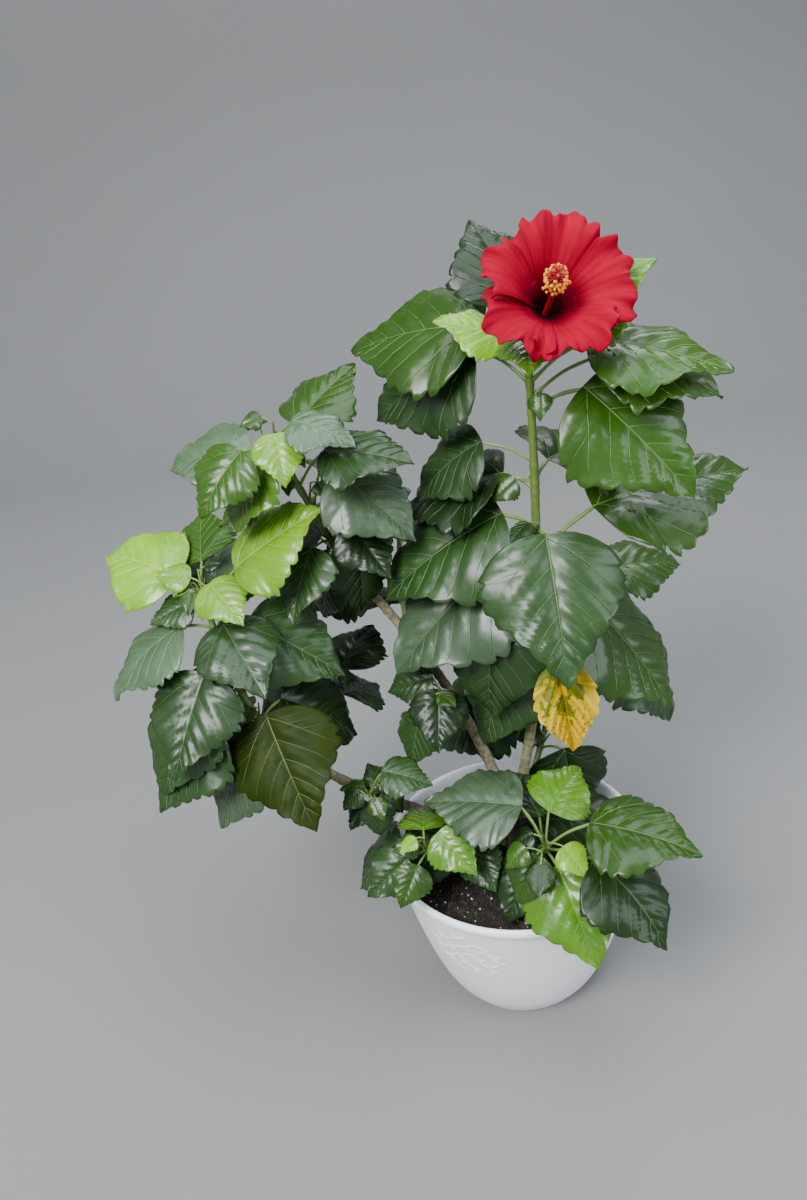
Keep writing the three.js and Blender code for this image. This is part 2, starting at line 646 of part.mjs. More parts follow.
function petals() {
  const foot = [0, 4, 9].map((h) => add(FLOWER_FOOT, FACING, CALYX_LENGTH + CLEAR + h));
  const parts = [rod(foot, [4.2, 5.2, 7.5], 10)];
  for (let k = 0; k < PETALS; k++) {
    const rows = [0.22, 0.5, 0.78, 0.95].map((s) => (
      [-1, -0.4, 0.4, 1].map((v) => petalPoint(k, s, v))
    ));
    parts.push(sheet(rows, [petalPoint(k, 0.04, 0), petalPoint(k, 1, 0)], PETAL_THICK));
  }
  return fuse(parts);
}

function flowerColumn() {
  const start = CALYX_LENGTH + 9 + 2 * CLEAR;
  const points = [0, 0.35, 0.7, 1].map((t) => (
    add(add(FLOWER_FOOT, FACING, mix(start, start + COLUMN_LENGTH - 12, t)), FLOWER_SIDE, 3 * t * t)
  ));
  const head = new THREE.IcosahedronGeometry(ANTHER_RADIUS, 1);
  head.translate(...add(points[2], scale(add(points[3], points[2], -1), 0.55)));
  const stigmas = [0, 1, 2, 3, 4].map((k) => {
    const a = 2 * Math.PI * k / 5;
    const out = add(scale(FLOWER_SIDE, Math.cos(a)), FLOWER_UP, Math.sin(a));
    return rod([points[3], add(add(points[3], FACING, 5), out, 4)], [0.8, 1.3], 5);
  });
  const radii = [COLUMN_RADIUS + 0.5, COLUMN_RADIUS, COLUMN_RADIUS, COLUMN_RADIUS - 0.4];
  return fuse([rod(points, radii, 8), solid(head), ...stigmas]);
}

function flowerSpots() {
  const spots = [];
  for (let k = 0; k < PETALS; k++) {
    for (const s of [0.2, 0.4, 0.6, 0.8, 0.97]) {
      for (const v of [-1, -0.6, -0.2, 0.2, 0.6, 1]) {
        spots.push({ at: petalPoint(k, s, v).at, radius: 5, owner: 'flower', kind: 'petal' });
      }
    }
  }
  return spots;
}

// The whole plant
function takenByWood() {
  const taken = flowerSpots();
  const stump = [[0, 0, SOIL_LEVEL], FORK];
  taken.push(...limbSpots(stump, [TRUNK_RADIUS, TRUNK_NECK], 'trunk'));
  for (const limb of Object.values(BOUGHS)) {
    const { points, radii } = stretch(limb, 0, limb.length);
    taken.push(...limbSpots(points, radii, 'bough'));
  }
  for (const [name, plan] of Object.entries(MASSES)) {
    const mass = rooted(plan);
    const { points, radii } = stretch(mass, 0, mass.length);
    taken.push(...limbSpots(points, radii, name));
  }
  return taken;
}

function build() {
  const group = new THREE.Group();
  group.name = 'potted_hibiscus';
  group.add(node('pot', pot(), 'pot'), node('soil', soil(), 'soil'), node('trunk', trunk(), 'bark'));
  for (const name of Object.keys(BOUGHS)) group.add(node(`bough_${name}`, bough(name), 'bark'));
  const grown = growLeaves(takenByWood());
  for (const [name, mass] of Object.entries(grown)) group.add(node(name, massBody(mass), 'leaf'));
  group.add(node('flower_petals', petals(), 'petal'));
  group.add(node('flower_column', flowerColumn(), 'column'));
  return group;
}

export default build();
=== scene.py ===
# %% [markdown]
# # A hibiscus shrub in a white bowl pot
# The shrub is a short stump with three boughs. Each bough carries a mass of foliage, two shoots hang over
# the pot's rim, and one red bloom stands on the tall stem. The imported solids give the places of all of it.
# This script grows the same plant again by the same rule, and then gives every leaf its teeth and veins,
# the wood its bark, and the bloom its ruffles.

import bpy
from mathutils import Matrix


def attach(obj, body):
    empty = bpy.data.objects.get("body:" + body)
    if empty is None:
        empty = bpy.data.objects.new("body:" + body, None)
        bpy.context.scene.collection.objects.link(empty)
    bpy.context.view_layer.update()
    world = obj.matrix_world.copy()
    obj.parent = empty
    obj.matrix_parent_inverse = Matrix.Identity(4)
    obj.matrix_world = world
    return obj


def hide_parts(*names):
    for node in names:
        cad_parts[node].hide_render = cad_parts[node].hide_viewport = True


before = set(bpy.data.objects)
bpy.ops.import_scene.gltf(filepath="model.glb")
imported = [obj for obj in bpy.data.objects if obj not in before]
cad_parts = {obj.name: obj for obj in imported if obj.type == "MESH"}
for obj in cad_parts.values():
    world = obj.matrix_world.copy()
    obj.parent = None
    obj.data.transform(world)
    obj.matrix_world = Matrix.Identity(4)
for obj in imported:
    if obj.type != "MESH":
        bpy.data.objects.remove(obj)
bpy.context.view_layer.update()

# %% [markdown]
# ## Modules and units
# The growth rule counts in millimetres, and Blender in metres, so one factor turns the first into the
# second where a mesh is made. The shapes are worked out with arrays, which is faster than point by point.

# %% Modules and the units of the growth rule
import math

import bpy
import numpy as np
from mathutils import Matrix, Vector, noise

MM = 0.001
UP = np.array([0.0, 0.0, 1.0])

# %% [markdown]
# ## Sizes of the plant
# All sizes are the ones that the solids were made with, in millimetres, so that the two models meet.
# A table of points would also do, but a rule with named sizes can be read and changed.

# %% Pot, wood and bloom sizes
CLEAR = 0.3
POT_HEIGHT, RIM_RADIUS, FOOT_RADIUS, FOOT_HEIGHT, FOOT_STEP = 145, 110, 64, 6, 2
WALL, FLOOR, WALL_SWELL, LIP_HEIGHT, LIP_OUT = 2.6, 4, 0.66, 9, 2.4
DRAIN_COUNT, DRAIN_RADIUS, DRAIN_RING, SOIL_LEVEL = 5, 5, 34, 130
FORK, LOW_FORK = [0, 0, 165], [0, 0, 150]
TRUNK_FLARE, TRUNK_RADIUS, TRUNK_NECK, LIMB_STEPS = 13, 8, 6.5, 8
BOUGHS = {
    "tall": dict(start=FORK, heading=(10, 20), lean=(16, 6), length=140, radius=(4.6, 3.9)),
    "left_high": dict(start=FORK, heading=(140, 165), lean=(18, 40), length=250, radius=(4.7, 3.4)),
    "left_low": dict(start=LOW_FORK, heading=(181, 190), lean=(70, 38), length=235, radius=(4.9, 3.5)),
}
FLOWER_FOOT, FLOWER_HEADING, FLOWER_LEAN = np.array([41.0, 17.5, 573.5]), 276, 51
CALYX_LENGTH, COLUMN_LENGTH, COLUMN_RADIUS = 15, 56, 1.7
PETALS, PETAL_TURN, PETAL_REACH, PETAL_WIDTH, PETAL_RISE, PETAL_OVERLAP = 5, 42, 48, 37, 41, 5
PETAL_FLARE, STALK_BACK = 1.6, 7

# %% [markdown]
# ## Numbers of the growth rule
# Leaves follow each other by the golden angle, stand off the stem at one angle and droop towards the light.
# They keep above the ground and off the pot's rim. Few numbers for the whole plant make it look of one kind.

# %% Growth sizes
DIVERGENCE, PARTING, SPREAD, DROOP, DROOP_TO_LIGHT, BLADE_WIDTH = 137.5, 24, 74, 36, 30, 0.43
TURN_PLAY, DROOP_PLAY, ROLL_PLAY = 70, 44, 36
SIZE_LEAST, SIZE_PLAY, STALK_LEAST, STALK_PLAY, BEND_LEAST, BEND_PLAY = 0.82, 0.36, 0.22, 0.34, 14, 34
STALK_LIT, LEVEL_LIT, FACE_LIT = 0.22, 0.25, 0.9
ASIDE = (0, 22, -22, 44, -44, 66, -66)
GROUND, RIM_ROOM = 8, 3

# %% [markdown]
# ## The masses of foliage
# A mass is one stem with flushes of leaves. A flush says how many leaves it has, where it starts and ends
# on the stem, the leaf size, the lift of the blades, the turn of its first leaf, and its seed.
# Tones deal one colour to each leaf from the stem's foot to its tip: y golden, d dark, m mature, g green,
# w painted sheen, f fresh, l lime, o olive. Young leaves at the tips are lime, and old ones low down are
# dark.
# The tones also paint light and shade: dark is painted on leaves that lie in shade, and lime on some that
# catch a highlight.

# %% The masses
MASSES = {
    "tall": dict(
        limb="tall", heading=(20, 20), lean=(4, -2), length=262, radius=(3.9, 2.6),
        tones="ydmmgwwmgmddmgmggfdlfg",
        flushes=[
            (1, 0.1, 0.1, 63, -24, 40, 1616), (2, 0.08, 0.22, 81, -8, 200, 86),
            (1, 0.05, 0.05, 75, -8, 280, 270), (2, 0.24, 0.3, 113, -8, 140, 439),
            (2, 0.34, 0.46, 110, 15, 240, 270), (2, 0.38, 0.48, 112, 15, 120, 364),
            (2, 0.5, 0.6, 115, -8, 120, 1810), (2, 0.62, 0.68, 85, -3, 140, 2832),
            (2, 0.82, 0.9, 115, 10, 60, 1628), (2, 0.9, 0.95, 99, 20, 100, 305),
            (2, 0.94, 0.98, 78, 55, 80, 596), (2, 0.97, 1.0, 52, 40, 240, 532),
            (1, 0.86, 0.86, 80, 10, 140, 1128),
        ]),
    "front_right": dict(
        limb="trunk", start=[8, -8, 152], heading=(280, 272), lean=(72, 40), length=85, radius=(2.6, 1.8),
        tones="ddmfgfgdwd",
        flushes=[
            (2, 0.4, 0.62, 92, 12, 340, 1472), (2, 0.62, 0.78, 66, 17, 40, 92),
            (2, 0.86, 0.94, 84, 27, 40, 562), (2, 0.97, 1, 50, 20, 220, 347),
            (2, 0.25, 0.6, 68, -22, 260, 577), (1, 0.96, 0.96, 74, 4, 220, 1488),
            (1, 0.8, 0.8, 82, 20, 140, 324),
        ]),
    "front_left": dict(
        limb="trunk", start=[-10, -6, 150], heading=(222, 215), lean=(76, 45), length=100, radius=(2.4, 1.6),
        tones="ddmmgffddm",
        flushes=[
            (1, 0.34, 0.34, 55, 12, 0, 978), (2, 0.58, 0.74, 66, 0, 40, 972),
            (2, 0.84, 0.92, 44, 22, 180, 1927), (2, 0.96, 1, 38, 15, 0, 1173),
            (2, 0.45, 0.9, 60, 7, 200, 1267), (2, 0.15, 0.5, 44, 17, 200, 1195),
        ]),
    "left_high": dict(
        limb="left_high", heading=(200, 215), lean=(24, 18), length=140, radius=(3.4, 2.0),
        tones="mddmdmwgmwggfwl",
        flushes=[
            (2, 0.03, 0.2, 54, -8, 240, 190), (2, 0.06, 0.3, 70, 10, 200, 561),
            (2, 0.3, 0.5, 56, 10, 20, 1155), (2, 0.55, 0.66, 70, 20, 80, 332),
            (2, 0.68, 0.8, 80, 25, 60, 342), (2, 0.84, 0.92, 68, 22, 140, 660),
            (2, 0.86, 0.97, 60, 22, 280, 827), (2, 0.95, 1.0, 42, 30, 200, 1352),
        ]),
    "left_low": dict(
        limb="left_low", heading=(150, 110), lean=(34, 18), length=130, radius=(3.5, 2.0),
        tones="wodmdmgdmmdwmwlllggm",
        flushes=[
            (2, 0.0, 0.1, 90, 10, 240, 466), (2, 0.05, 0.35, 72, 0, 200, 365),
            (2, 0.12, 0.26, 95, -8, 120, 2330), (2, 0.15, 0.42, 41, 10, 60, 2198),
            (2, 0.45, 0.6, 85, 20, 320, 669), (2, 0.55, 0.75, 86, 10, 100, 1271),
            (2, 0.7, 0.82, 77, 20, 40, 513), (2, 0.85, 0.93, 90, 45, 80, 1127),
            (2, 0.95, 1.0, 54, 35, 20, 263), (2, 0.5, 0.9, 42, 22, 80, 1654),
        ]),
    "inner_high": dict(
        limb="left_high", at=0.5, heading=(250, 250), lean=(70, 60), length=35, radius=(1.8, 1.3),
        tones="mdmmd",
        flushes=[
            (2, 0.35, 0.6, 33, -5, 60, 799), (2, 0.68, 0.84, 44, -5, 60, 1191), (1, 1, 1, 55, 17, 60, 772),
        ]),
    "inner_low": dict(
        limb="left_low", at=0.5, heading=(250, 230), lean=(45, 40), length=35, radius=(1.8, 1.3),
        tones="gdmdmm",
        flushes=[
            (2, 0.35, 0.55, 30, 22, 120, 702), (2, 0.65, 0.8, 34, 0, 20, 1162),
            (2, 0.9, 1, 38, 10, 320, 1053),
        ]),
    "back_right": dict(
        limb="trunk", start=[6, 10, 160], heading=(50, 60), lean=(48, 22), length=200, radius=(3.0, 1.9),
        tones="ddmddmgmg",
        flushes=[
            (3, 0.3, 0.5, 90, -8, 20, 952), (3, 0.56, 0.78, 95, -8, 200, 609),
            (3, 0.86, 1.0, 81, 20, 200, 504),
        ]),
    "back_high": dict(
        limb="left_high", at=0.75, heading=(95, 80), lean=(60, 35), length=100, radius=(2.2, 1.5),
        tones="dmdg",
        flushes=[(3, 0.3, 0.65, 80, 10, 160, 76), (3, 0.75, 1.0, 68, 30, 200, 334)]),
    "back_low": dict(
        limb="left_low", at=0.75, heading=(80, 100), lean=(55, 30), length=80, radius=(2.2, 1.5),
        tones="dmdm",
        flushes=[(3, 0.3, 0.7, 75, 0, 220, 586), (3, 0.8, 1.0, 65, 20, 120, 598)]),
}
print(len(MASSES), "masses,", sum(len(plan["flushes"]) for plan in MASSES.values()), "flushes of leaves")

# %% [markdown]
# ## How a limb runs
# A real shoot bends a little all along its way. Its heading and its lean change evenly from foot to tip,
# and the course is added up step by step, which needs no list of points.

# %% Vectors and the course of a limb
def vec(*values):
    return np.array(values, float)


def unit(a):
    return a / np.sqrt(a @ a)


def mix(a, b, t):
    return a + (b - a) * t


def toward(heading, lean):
    h = math.radians(heading)
    t = math.radians(lean)
    return vec(math.sin(t) * math.cos(h), math.sin(t) * math.sin(h), math.cos(t))


LIGHT = unit(vec(-0.12, -0.80, 0.60))
LEVEL_LIGHT = unit(vec(-0.12, -0.80, 0))


def course(limb):
    points = [np.array(limb["start"], float)]
    for k in range(LIMB_STEPS):
        s = (k + 0.5) / LIMB_STEPS
        way = toward(mix(*limb["heading"], s), mix(*limb["lean"], s))
        points.append(points[k] + way * limb["length"] / LIMB_STEPS)
    return points


def along(points, t):
    f = min(max(t, 0), 1) * (len(points) - 1)
    k = min(int(f), len(points) - 2)
    step = points[k + 1] - points[k]
    return points[k] + step * (f - k), unit(step)


def rooted(mass):
    if mass["limb"] == "trunk":
        return mass
    at, way = along(course(BOUGHS[mass["limb"]]), mass.get("at", 1))
    return dict(mass, start=at, limb_way=way)


# %% [markdown]
# ## How a leaf is placed
# Leaves follow each other round the stem by the golden angle and turn their faces to the light.
# Each one takes six seeded draws: azimuth, size, stalk length, droop, bend and roll.

# %% Seeded draws and one leaf
def draws(seed):
    x = seed
    for _ in range(3):
        x = (x * 16807) % 2147483647
    while True:
        x = (x * 16807) % 2147483647
        yield x / 2147483647


def leaf_place(points, flush, i, chance, aside):
    count, first, last, leaf_size, lift, turn, _ = flush
    q = i / (count - 1) if count > 1 else 1
    at, way = along(points, mix(first, last, q))
    azimuth = math.radians(turn + DIVERGENCE * i + TURN_PLAY * (chance[0] - 0.5) + aside)
    parted = azimuth + math.radians(PARTING) * math.sin(2 * azimuth)
    front = unit(LIGHT - way * (way @ LIGHT))
    side = unit(np.cross(way, LIGHT))
    out = front * math.cos(parted) + side * math.sin(parted)
    size = leaf_size * (SIZE_LEAST + SIZE_PLAY * chance[1])
    spread = math.radians(SPREAD - 0.5 * lift)
    stalk = unit(way * math.cos(spread) + out * math.sin(spread) + STALK_LIT * LIGHT)
    base = at + stalk * size * (STALK_LEAST + STALK_PLAY * chance[2])
    level = unit(vec(stalk[0], stalk[1], 0))
    flat = unit(level + LEVEL_LIT * LEVEL_LIGHT)
    droop = DROOP + DROOP_TO_LIGHT * (level @ LEVEL_LIGHT) + DROOP_PLAY * (chance[3] - 0.5) - lift
    droop = math.radians(droop)
    down = flat * math.cos(droop) - UP * math.sin(droop)
    lit = unit(unit(UP - down * down[2]) + FACE_LIT * LIGHT)
    square = unit(lit - down * (down @ lit))
    roll = math.radians(ROLL_PLAY * (chance[5] - 0.5))
    up = square * math.cos(roll) + np.cross(down, square) * math.sin(roll)
    return dict(at=at, base=base, stalk=stalk, way=down, up=up, across=np.cross(up, down), size=size,
                bend=math.radians(BEND_LEAST + BEND_PLAY * chance[4]), stem_way=way)


# %% [markdown]
# ## The surface of a blade
# A blade is bent along its rib, folded a little at the rib and rolled down at the edges.
# u runs from the base to the tip and v from edge to edge. Both may be arrays of numbers.

# %% The blade
FLAT_FOLD, FOLDS = 0.22, {"y": 1.1}
BASE_POWER, TIP_POWER, WIDEST, EDGE_ROLL, KNEE_RISE = 0.45, 0.92, 0.4205, 0.9, 0.06
STALK_END = 0.06


def half_width(u):
    inside = np.clip(u, 0.0, 1.0)
    return inside ** BASE_POWER * (1 - inside) ** TIP_POWER / WIDEST


def blade_point(leaf, u, v, wide=None, relief=0.0):
    u, v = np.asarray(u, float), np.asarray(v, float)
    size = leaf["size"]
    angle = leaf["bend"] * u
    turned = np.cos(angle)[..., None] * leaf["up"] + np.sin(angle)[..., None] * leaf["way"]
    rib = (leaf["base"] + (size * np.sin(angle) / leaf["bend"])[..., None] * leaf["way"]
           - (size * (1 - np.cos(angle)) / leaf["bend"])[..., None] * leaf["up"])
    y = v * BLADE_WIDTH * size * (half_width(u) if wide is None else wide)
    fold = FOLDS.get(leaf.get("tone"), FLAT_FOLD)
    lift = fold * np.abs(y) - EDGE_ROLL * y * y / size + relief
    y = y * math.sqrt((1 + FLAT_FOLD ** 2) / (1 + fold ** 2))
    return rib + y[..., None] * leaf["across"] + lift[..., None] * turned, turned


def stalk_points(leaf):
    reach = np.linalg.norm(leaf["base"] - leaf["at"])
    knee = leaf["at"] + leaf["stalk"] * 0.5 * reach + UP * KNEE_RISE * reach
    return [leaf["at"], knee, blade_point(leaf, STALK_END, 0.0)[0]]


# %% [markdown]
# ## Room for every leaf
# Blades and stalks are held as rows of spots. A new leaf is kept only where its spots clear all others,
# the pot and the ground. It is turned aside a few times before it is given up, as in the solids.

# %% Spots and room
ALONG, ACROSS = np.meshgrid(np.arange(11) / 10, np.arange(-4, 5) / 4, indexing="ij")
KEPT_SPOTS = ~(((ALONG == 0) | (ALONG == 1)) & (ACROSS != 0))
BLADE_SPOTS = ALONG[KEPT_SPOTS], ACROSS[KEPT_SPOTS]
BLADE_KIND, STALK_KIND, LIMB_KIND, PETAL_KIND = 0, 1, 2, 3
NEAR, SPOT_STEP = 20, 4
BLADE_ROOM, BLADE_ROOM_MORE, STALK_ROOM, LIMB_ROOM, PETAL_ROOM = 1.2, 0.018, 2, 1, 5
STALK_SPOTS = (0.4, 0.6, 0.8, 1)


def spots_at(places, radius, kind, owner):
    rest = np.tile([radius, kind, owner], (len(places), 1))
    return np.hstack([np.array(places, float), rest])


def leaf_spots(leaf, owner):
    blade = blade_point(leaf, *BLADE_SPOTS)[0]
    foot, knee, end = stalk_points(leaf)
    stalk = [along([foot, knee], t)[0] for t in STALK_SPOTS]
    stalk += [along([knee, end], t - 0.2)[0] for t in STALK_SPOTS]
    return np.vstack([spots_at(blade, BLADE_ROOM + BLADE_ROOM_MORE * leaf["size"], BLADE_KIND, owner),
                      spots_at(stalk, STALK_ROOM, STALK_KIND, owner)])


def limb_spots(points, radii, owner):
    rows = []
    for k in range(len(points) - 1):
        steps = max(1, math.ceil(np.linalg.norm(points[k + 1] - points[k]) / SPOT_STEP))
        places = [along([points[k], points[k + 1]], j / steps)[0] for j in range(steps)]
        rows.append(spots_at(places, radii[k] + LIMB_ROOM, LIMB_KIND, owner))
    return np.vstack(rows)


def pot_radius(z):
    t = np.clip((z - FOOT_HEIGHT) / (POT_HEIGHT - FOOT_HEIGHT), 0, 1)
    return mix(FOOT_RADIUS, RIM_RADIUS - LIP_OUT, t ** WALL_SWELL)


def clear_of_pot(places):
    r = np.hypot(places[:, 0], places[:, 1])
    z = places[:, 2]
    over = z > POT_HEIGHT + RIM_ROOM
    inside = (z > SOIL_LEVEL + RIM_ROOM) & (r < RIM_RADIUS - 2 * WALL - RIM_ROOM)
    outside = r > pot_radius(z) + LIP_OUT + RIM_ROOM
    return (z >= GROUND) & (over | inside | outside)


def has_room(spots, taken):
    if not clear_of_pot(spots[:, :3]).all():
        return False
    low, high = spots[:, :3].min(0) - NEAR, spots[:, :3].max(0) + NEAR
    taken = taken[((taken[:, :3] > low) & (taken[:, :3] < high)).all(1)]
    apart = ((spots[:, None, :3] - taken[None, :, :3]) ** 2).sum(2)
    gap = spots[:, None, 3] + taken[None, :, 3]
    own_stem = (taken[None, :, 4] == LIMB_KIND) & (taken[None, :, 5] == spots[:, None, 5])
    own_stem = own_stem & (spots[:, None, 4] == STALK_KIND)
    return bool(((apart > gap * gap) | own_stem).all())


# %% [markdown]
# ## The room of wood and bloom
# Limbs and petals claim their places first, since the plant had them before the leaves unfolded. The bloom
# has a frame of its own, with one axis out of its throat, in which a petal is a few short formulas.

# %% Taken places
PETAL_SPOTS = [(s, v) for s in (0.2, 0.4, 0.6, 0.8, 0.97) for v in (-1, -0.6, -0.2, 0.2, 0.6, 1)]
FACING = toward(FLOWER_HEADING, FLOWER_LEAN)
FLOWER_SIDE = unit(np.cross(FACING, UP))
FLOWER_UP = np.cross(FLOWER_SIDE, FACING)
print("the bloom faces", FACING.round(3))
PETAL_FOOT = FLOWER_FOOT + FACING * (CALYX_LENGTH + CLEAR + 1)
THROAT = 3


def limb_stretch(limb):
    points = course(limb)
    return points, [mix(*limb["radius"], k / LIMB_STEPS) for k in range(LIMB_STEPS + 1)]


def off_axis(angle):
    a = np.asarray(angle, float)[..., None]
    return FLOWER_SIDE * np.cos(a) + FLOWER_UP * np.sin(a)


def petal_way(k):
    return off_axis(math.radians(PETAL_TURN + 360 * k / PETALS))


def petal_spot(k, s, v):
    out = petal_way(k)
    rise = PETAL_RISE * (1 - (1 - s) ** PETAL_FLARE)
    reach = THROAT + (PETAL_REACH - THROAT) * s ** 1.15
    y = v * PETAL_WIDTH * s ** 0.75 * math.sqrt(max(0, 1 - s ** 7))
    ruffle = 2.2 * s * s * v * v * math.sin(9 * v + 5 * s + 2 * k)
    lift = v * PETAL_OVERLAP * s + ruffle + 0.10 * y * y / PETAL_REACH
    return PETAL_FOOT + FACING * (rise + lift) + out * reach + np.cross(FACING, out) * y


def places_taken():
    petals = [petal_spot(k, s, v) for k in range(PETALS) for s, v in PETAL_SPOTS]
    rows = [spots_at(petals, PETAL_ROOM, PETAL_KIND, -1)]
    stump = [vec(0, 0, SOIL_LEVEL), vec(*FORK)]
    rows.append(limb_spots(stump, [TRUNK_RADIUS, TRUNK_NECK], -2))
    rows += [limb_spots(*limb_stretch(limb), -3) for limb in BOUGHS.values()]
    rows += [limb_spots(*limb_stretch(rooted(plan)), n) for n, plan in enumerate(MASSES.values())]
    return np.vstack(rows)


# %% [markdown]
# ## Growing the masses
# Each flush is grown leaf by leaf. The result is the same set of leaves that the solids have, but here
# each one is kept as numbers, so that its blade, its veins and its stalk can be made from them later.

# %% Grow the leaves of every mass
def grow_flush(points, flush, owner, taken):
    chances = draws(flush[-1])
    leaves = []
    for i in range(flush[0]):
        chance = [next(chances) for _ in range(6)]
        for aside in ASIDE:
            leaf = leaf_place(points, flush, i, chance, aside)
            spots = leaf_spots(leaf, owner)
            if has_room(spots, taken):
                taken = np.vstack([taken, spots])
                leaves.append(leaf)
                break
    return leaves, taken


def grow_all():
    taken = places_taken()
    grown = {}
    for owner, (name, plan) in enumerate(MASSES.items()):
        points = course(rooted(plan))
        grown[name] = []
        for flush in plan["flushes"]:
            leaves, taken = grow_flush(points, flush, owner, taken)
            grown[name] += leaves
        for n, leaf in enumerate(grown[name]):
            leaf["tone"] = plan["tones"][n % len(plan["tones"])]
    return grown, taken


grown, taken = grow_all()
print({name: len(leaves) for name, leaves in grown.items()}, "leaves by mass")

# %% [markdown]
# ## Finer shoots
# A grown shrub also has small side shoots in the angles between leaf and stem. They follow the same rule
# on a short stem of their own, and only where there is room, so they stay within the reach of the mass.

# %% Side shoots
SHOOT_LENGTH, SHOOT_LEAF, SHOOT_LIFT = (9, 20), (15, 27), 22
SHOOTS_OF, OTHER_SHOOTS, SMALL_BEND = {"tall": 0.3}, 0.85, 0.6
SHOOT_SEED, YOUNG_SEED = 1000, 5000


def side_shoot(leaf, chance, seed):
    way = unit(leaf["stem_way"] * 0.9 + leaf["stalk"] * (0.5 + 0.5 * chance[0]))
    length = mix(*SHOOT_LENGTH, chance[1])
    points = [leaf["at"], leaf["at"] + way * length * 0.5 + LIGHT, leaf["at"] + way * length + 2 * LIGHT]
    flush = (2 + round(chance[2]), 0.7, 1.0, mix(*SHOOT_LEAF, chance[3]), SHOOT_LIFT, 360 * chance[4], seed)
    return points, flush


def grow_shoots(grown, taken):
    shoots = {}
    for owner, (name, leaves) in enumerate(grown.items()):
        shoots[name] = []
        for n, leaf in enumerate(leaves):
            chances = draws(SHOOT_SEED + 97 * owner + n)
            chance = [next(chances) for _ in range(6)]
            if chance[5] > SHOOTS_OF.get(name, OTHER_SHOOTS):
                continue
            points, flush = side_shoot(leaf, chance, YOUNG_SEED + 31 * n + owner)
            young, taken = grow_flush(points, flush, owner, taken)
            for k, small in enumerate(young):
                small["tone"] = ("fgl" if leaf["tone"] in "lf" else "mgd")[(n + k) % 3]
                small["bend"] *= SMALL_BEND
            if young:
                shoots[name].append(dict(points=points, leaves=young))
    return shoots, taken


def leaves_of(name):
    return grown[name] + [small for shoot in shoots[name] for small in shoot["leaves"]]


shoots, taken = grow_shoots(grown, taken)
print(sum(len(leaves_of(name)) - len(grown[name]) for name in grown), "small leaves on side shoots")

# %% [markdown]
# ## Helpers for meshes
# Many small things are best gathered as arrays of corners and faces and made one mesh at the end.
# Heap does that. It keeps a material number for each face, and a pair of leaf coordinates for each corner.
# Blades, petals, pot and cup all are grids of faces, so one rule numbers the corners of every one of them.

# %% Heap of faces
def grid_faces(rows, columns, closed=False):
    return [(k * columns + j, (k + 1) * columns + j, (k + 1) * columns + (j + 1) % columns,
             k * columns + (j + 1) % columns)
            for k in range(rows - 1) for j in range(columns if closed else columns - 1)]


def flipped(faces, shift=0):
    return [tuple(c + shift for c in (face[0], *face[:0:-1])) for face in faces]


def turned_faces(rows, sides):
    count = rows * sides
    last = count - sides
    faces = flipped(grid_faces(rows, sides, closed=True))
    faces += [(count, (j + 1) % sides, j) for j in range(sides)]
    return faces + [(count + 1, last + j, last + (j + 1) % sides) for j in range(sides)]


def leaf_places(u, v):
    return np.stack([np.ravel(u), 0.5 + 0.5 * np.ravel(v)], 1)


class Heap:
    def __init__(self):
        self.corners, self.faces, self.slots, self.places, self.count = [], [], [], [], 0

    def add(self, corners, faces, slots=0, places=None):
        self.corners.append(np.asarray(corners, float))
        self.faces += [tuple(c + self.count for c in face) for face in faces]
        self.slots += [slots] * len(faces) if isinstance(slots, int) else slots
        self.places.append(np.zeros((len(corners), 2)) if places is None else np.asarray(places, float))
        self.count += len(corners)

    def mesh(self, name, materials):
        mesh = bpy.data.meshes.new(name)
        mesh.from_pydata((np.vstack(self.corners) * MM).tolist(), [], self.faces)
        mesh.polygons.foreach_set("material_index", self.slots)
        mesh.polygons.foreach_set("use_smooth", [True] * len(self.faces))
        places = np.vstack(self.places)
        corner_of = np.zeros(len(mesh.loops), int)
        mesh.loops.foreach_get("vertex_index", corner_of)
        layer = mesh.uv_layers.new(name="place")
        layer.data.foreach_set("uv", places[corner_of].ravel())
        for material in materials:
            mesh.materials.append(material)
        mesh.update()
        return mesh


def hung(name, data):
    thing = bpy.data.objects.new(name, data)
    bpy.context.scene.collection.objects.link(thing)
    return thing


def own_mesh(holder, name):
    mesh = bpy.data.meshes.new_from_object(holder.evaluated_get(bpy.context.evaluated_depsgraph_get()))
    holder.modifiers.clear()
    bpy.data.objects.remove(holder)
    mesh.name = name
    return mesh


def shown(name, mesh, slot, *nodes):
    piece = hung(name, mesh)
    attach(piece, "root")
    if nodes:
        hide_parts(*nodes)
    print(name, "has", sum(len(p.vertices) - 2 for p in mesh.polygons), "triangles")


# %% [markdown]
# ## Helpers for materials
# Each finish is a Principled shader. Its base colour comes from a shared group of nodes that blends two
# near colours by noise, so no surface is one flat colour. Two more groups turn noise into a fine bump: a
# grain for most things, and a net of small puffs for leaf blades.

# %% Shader node groups
SOCKETS = {int: "Int", float: "Float"}


def new_group(name, kind, inputs):
    tree = bpy.data.node_groups.new(name, kind)
    for label, value in inputs.items():
        plain = SOCKETS.get(type(value))
        item = tree.interface.new_socket(label, in_out="INPUT", socket_type="NodeSocket" + (plain or value))
        if plain:
            item.default_value = value
    return tree, tree.nodes.new("NodeGroupInput").outputs


def closed_group(tree, label, kind, result):
    tree.interface.new_socket(label, in_out="OUTPUT", socket_type="NodeSocket" + kind)
    tree.links.new(result, tree.nodes.new("NodeGroupOutput").inputs[0])
    return tree


def put(tree, kind, values=None, out=0, **settings):
    node = tree.nodes.new(kind)
    for key, value in settings.items():
        setattr(node, key, value)
    for key, value in (values or {}).items():
        if isinstance(value, bpy.types.NodeSocket):
            tree.links.new(value, node.inputs[key])
        else:
            node.inputs[key].default_value = value
    return node.outputs[out]


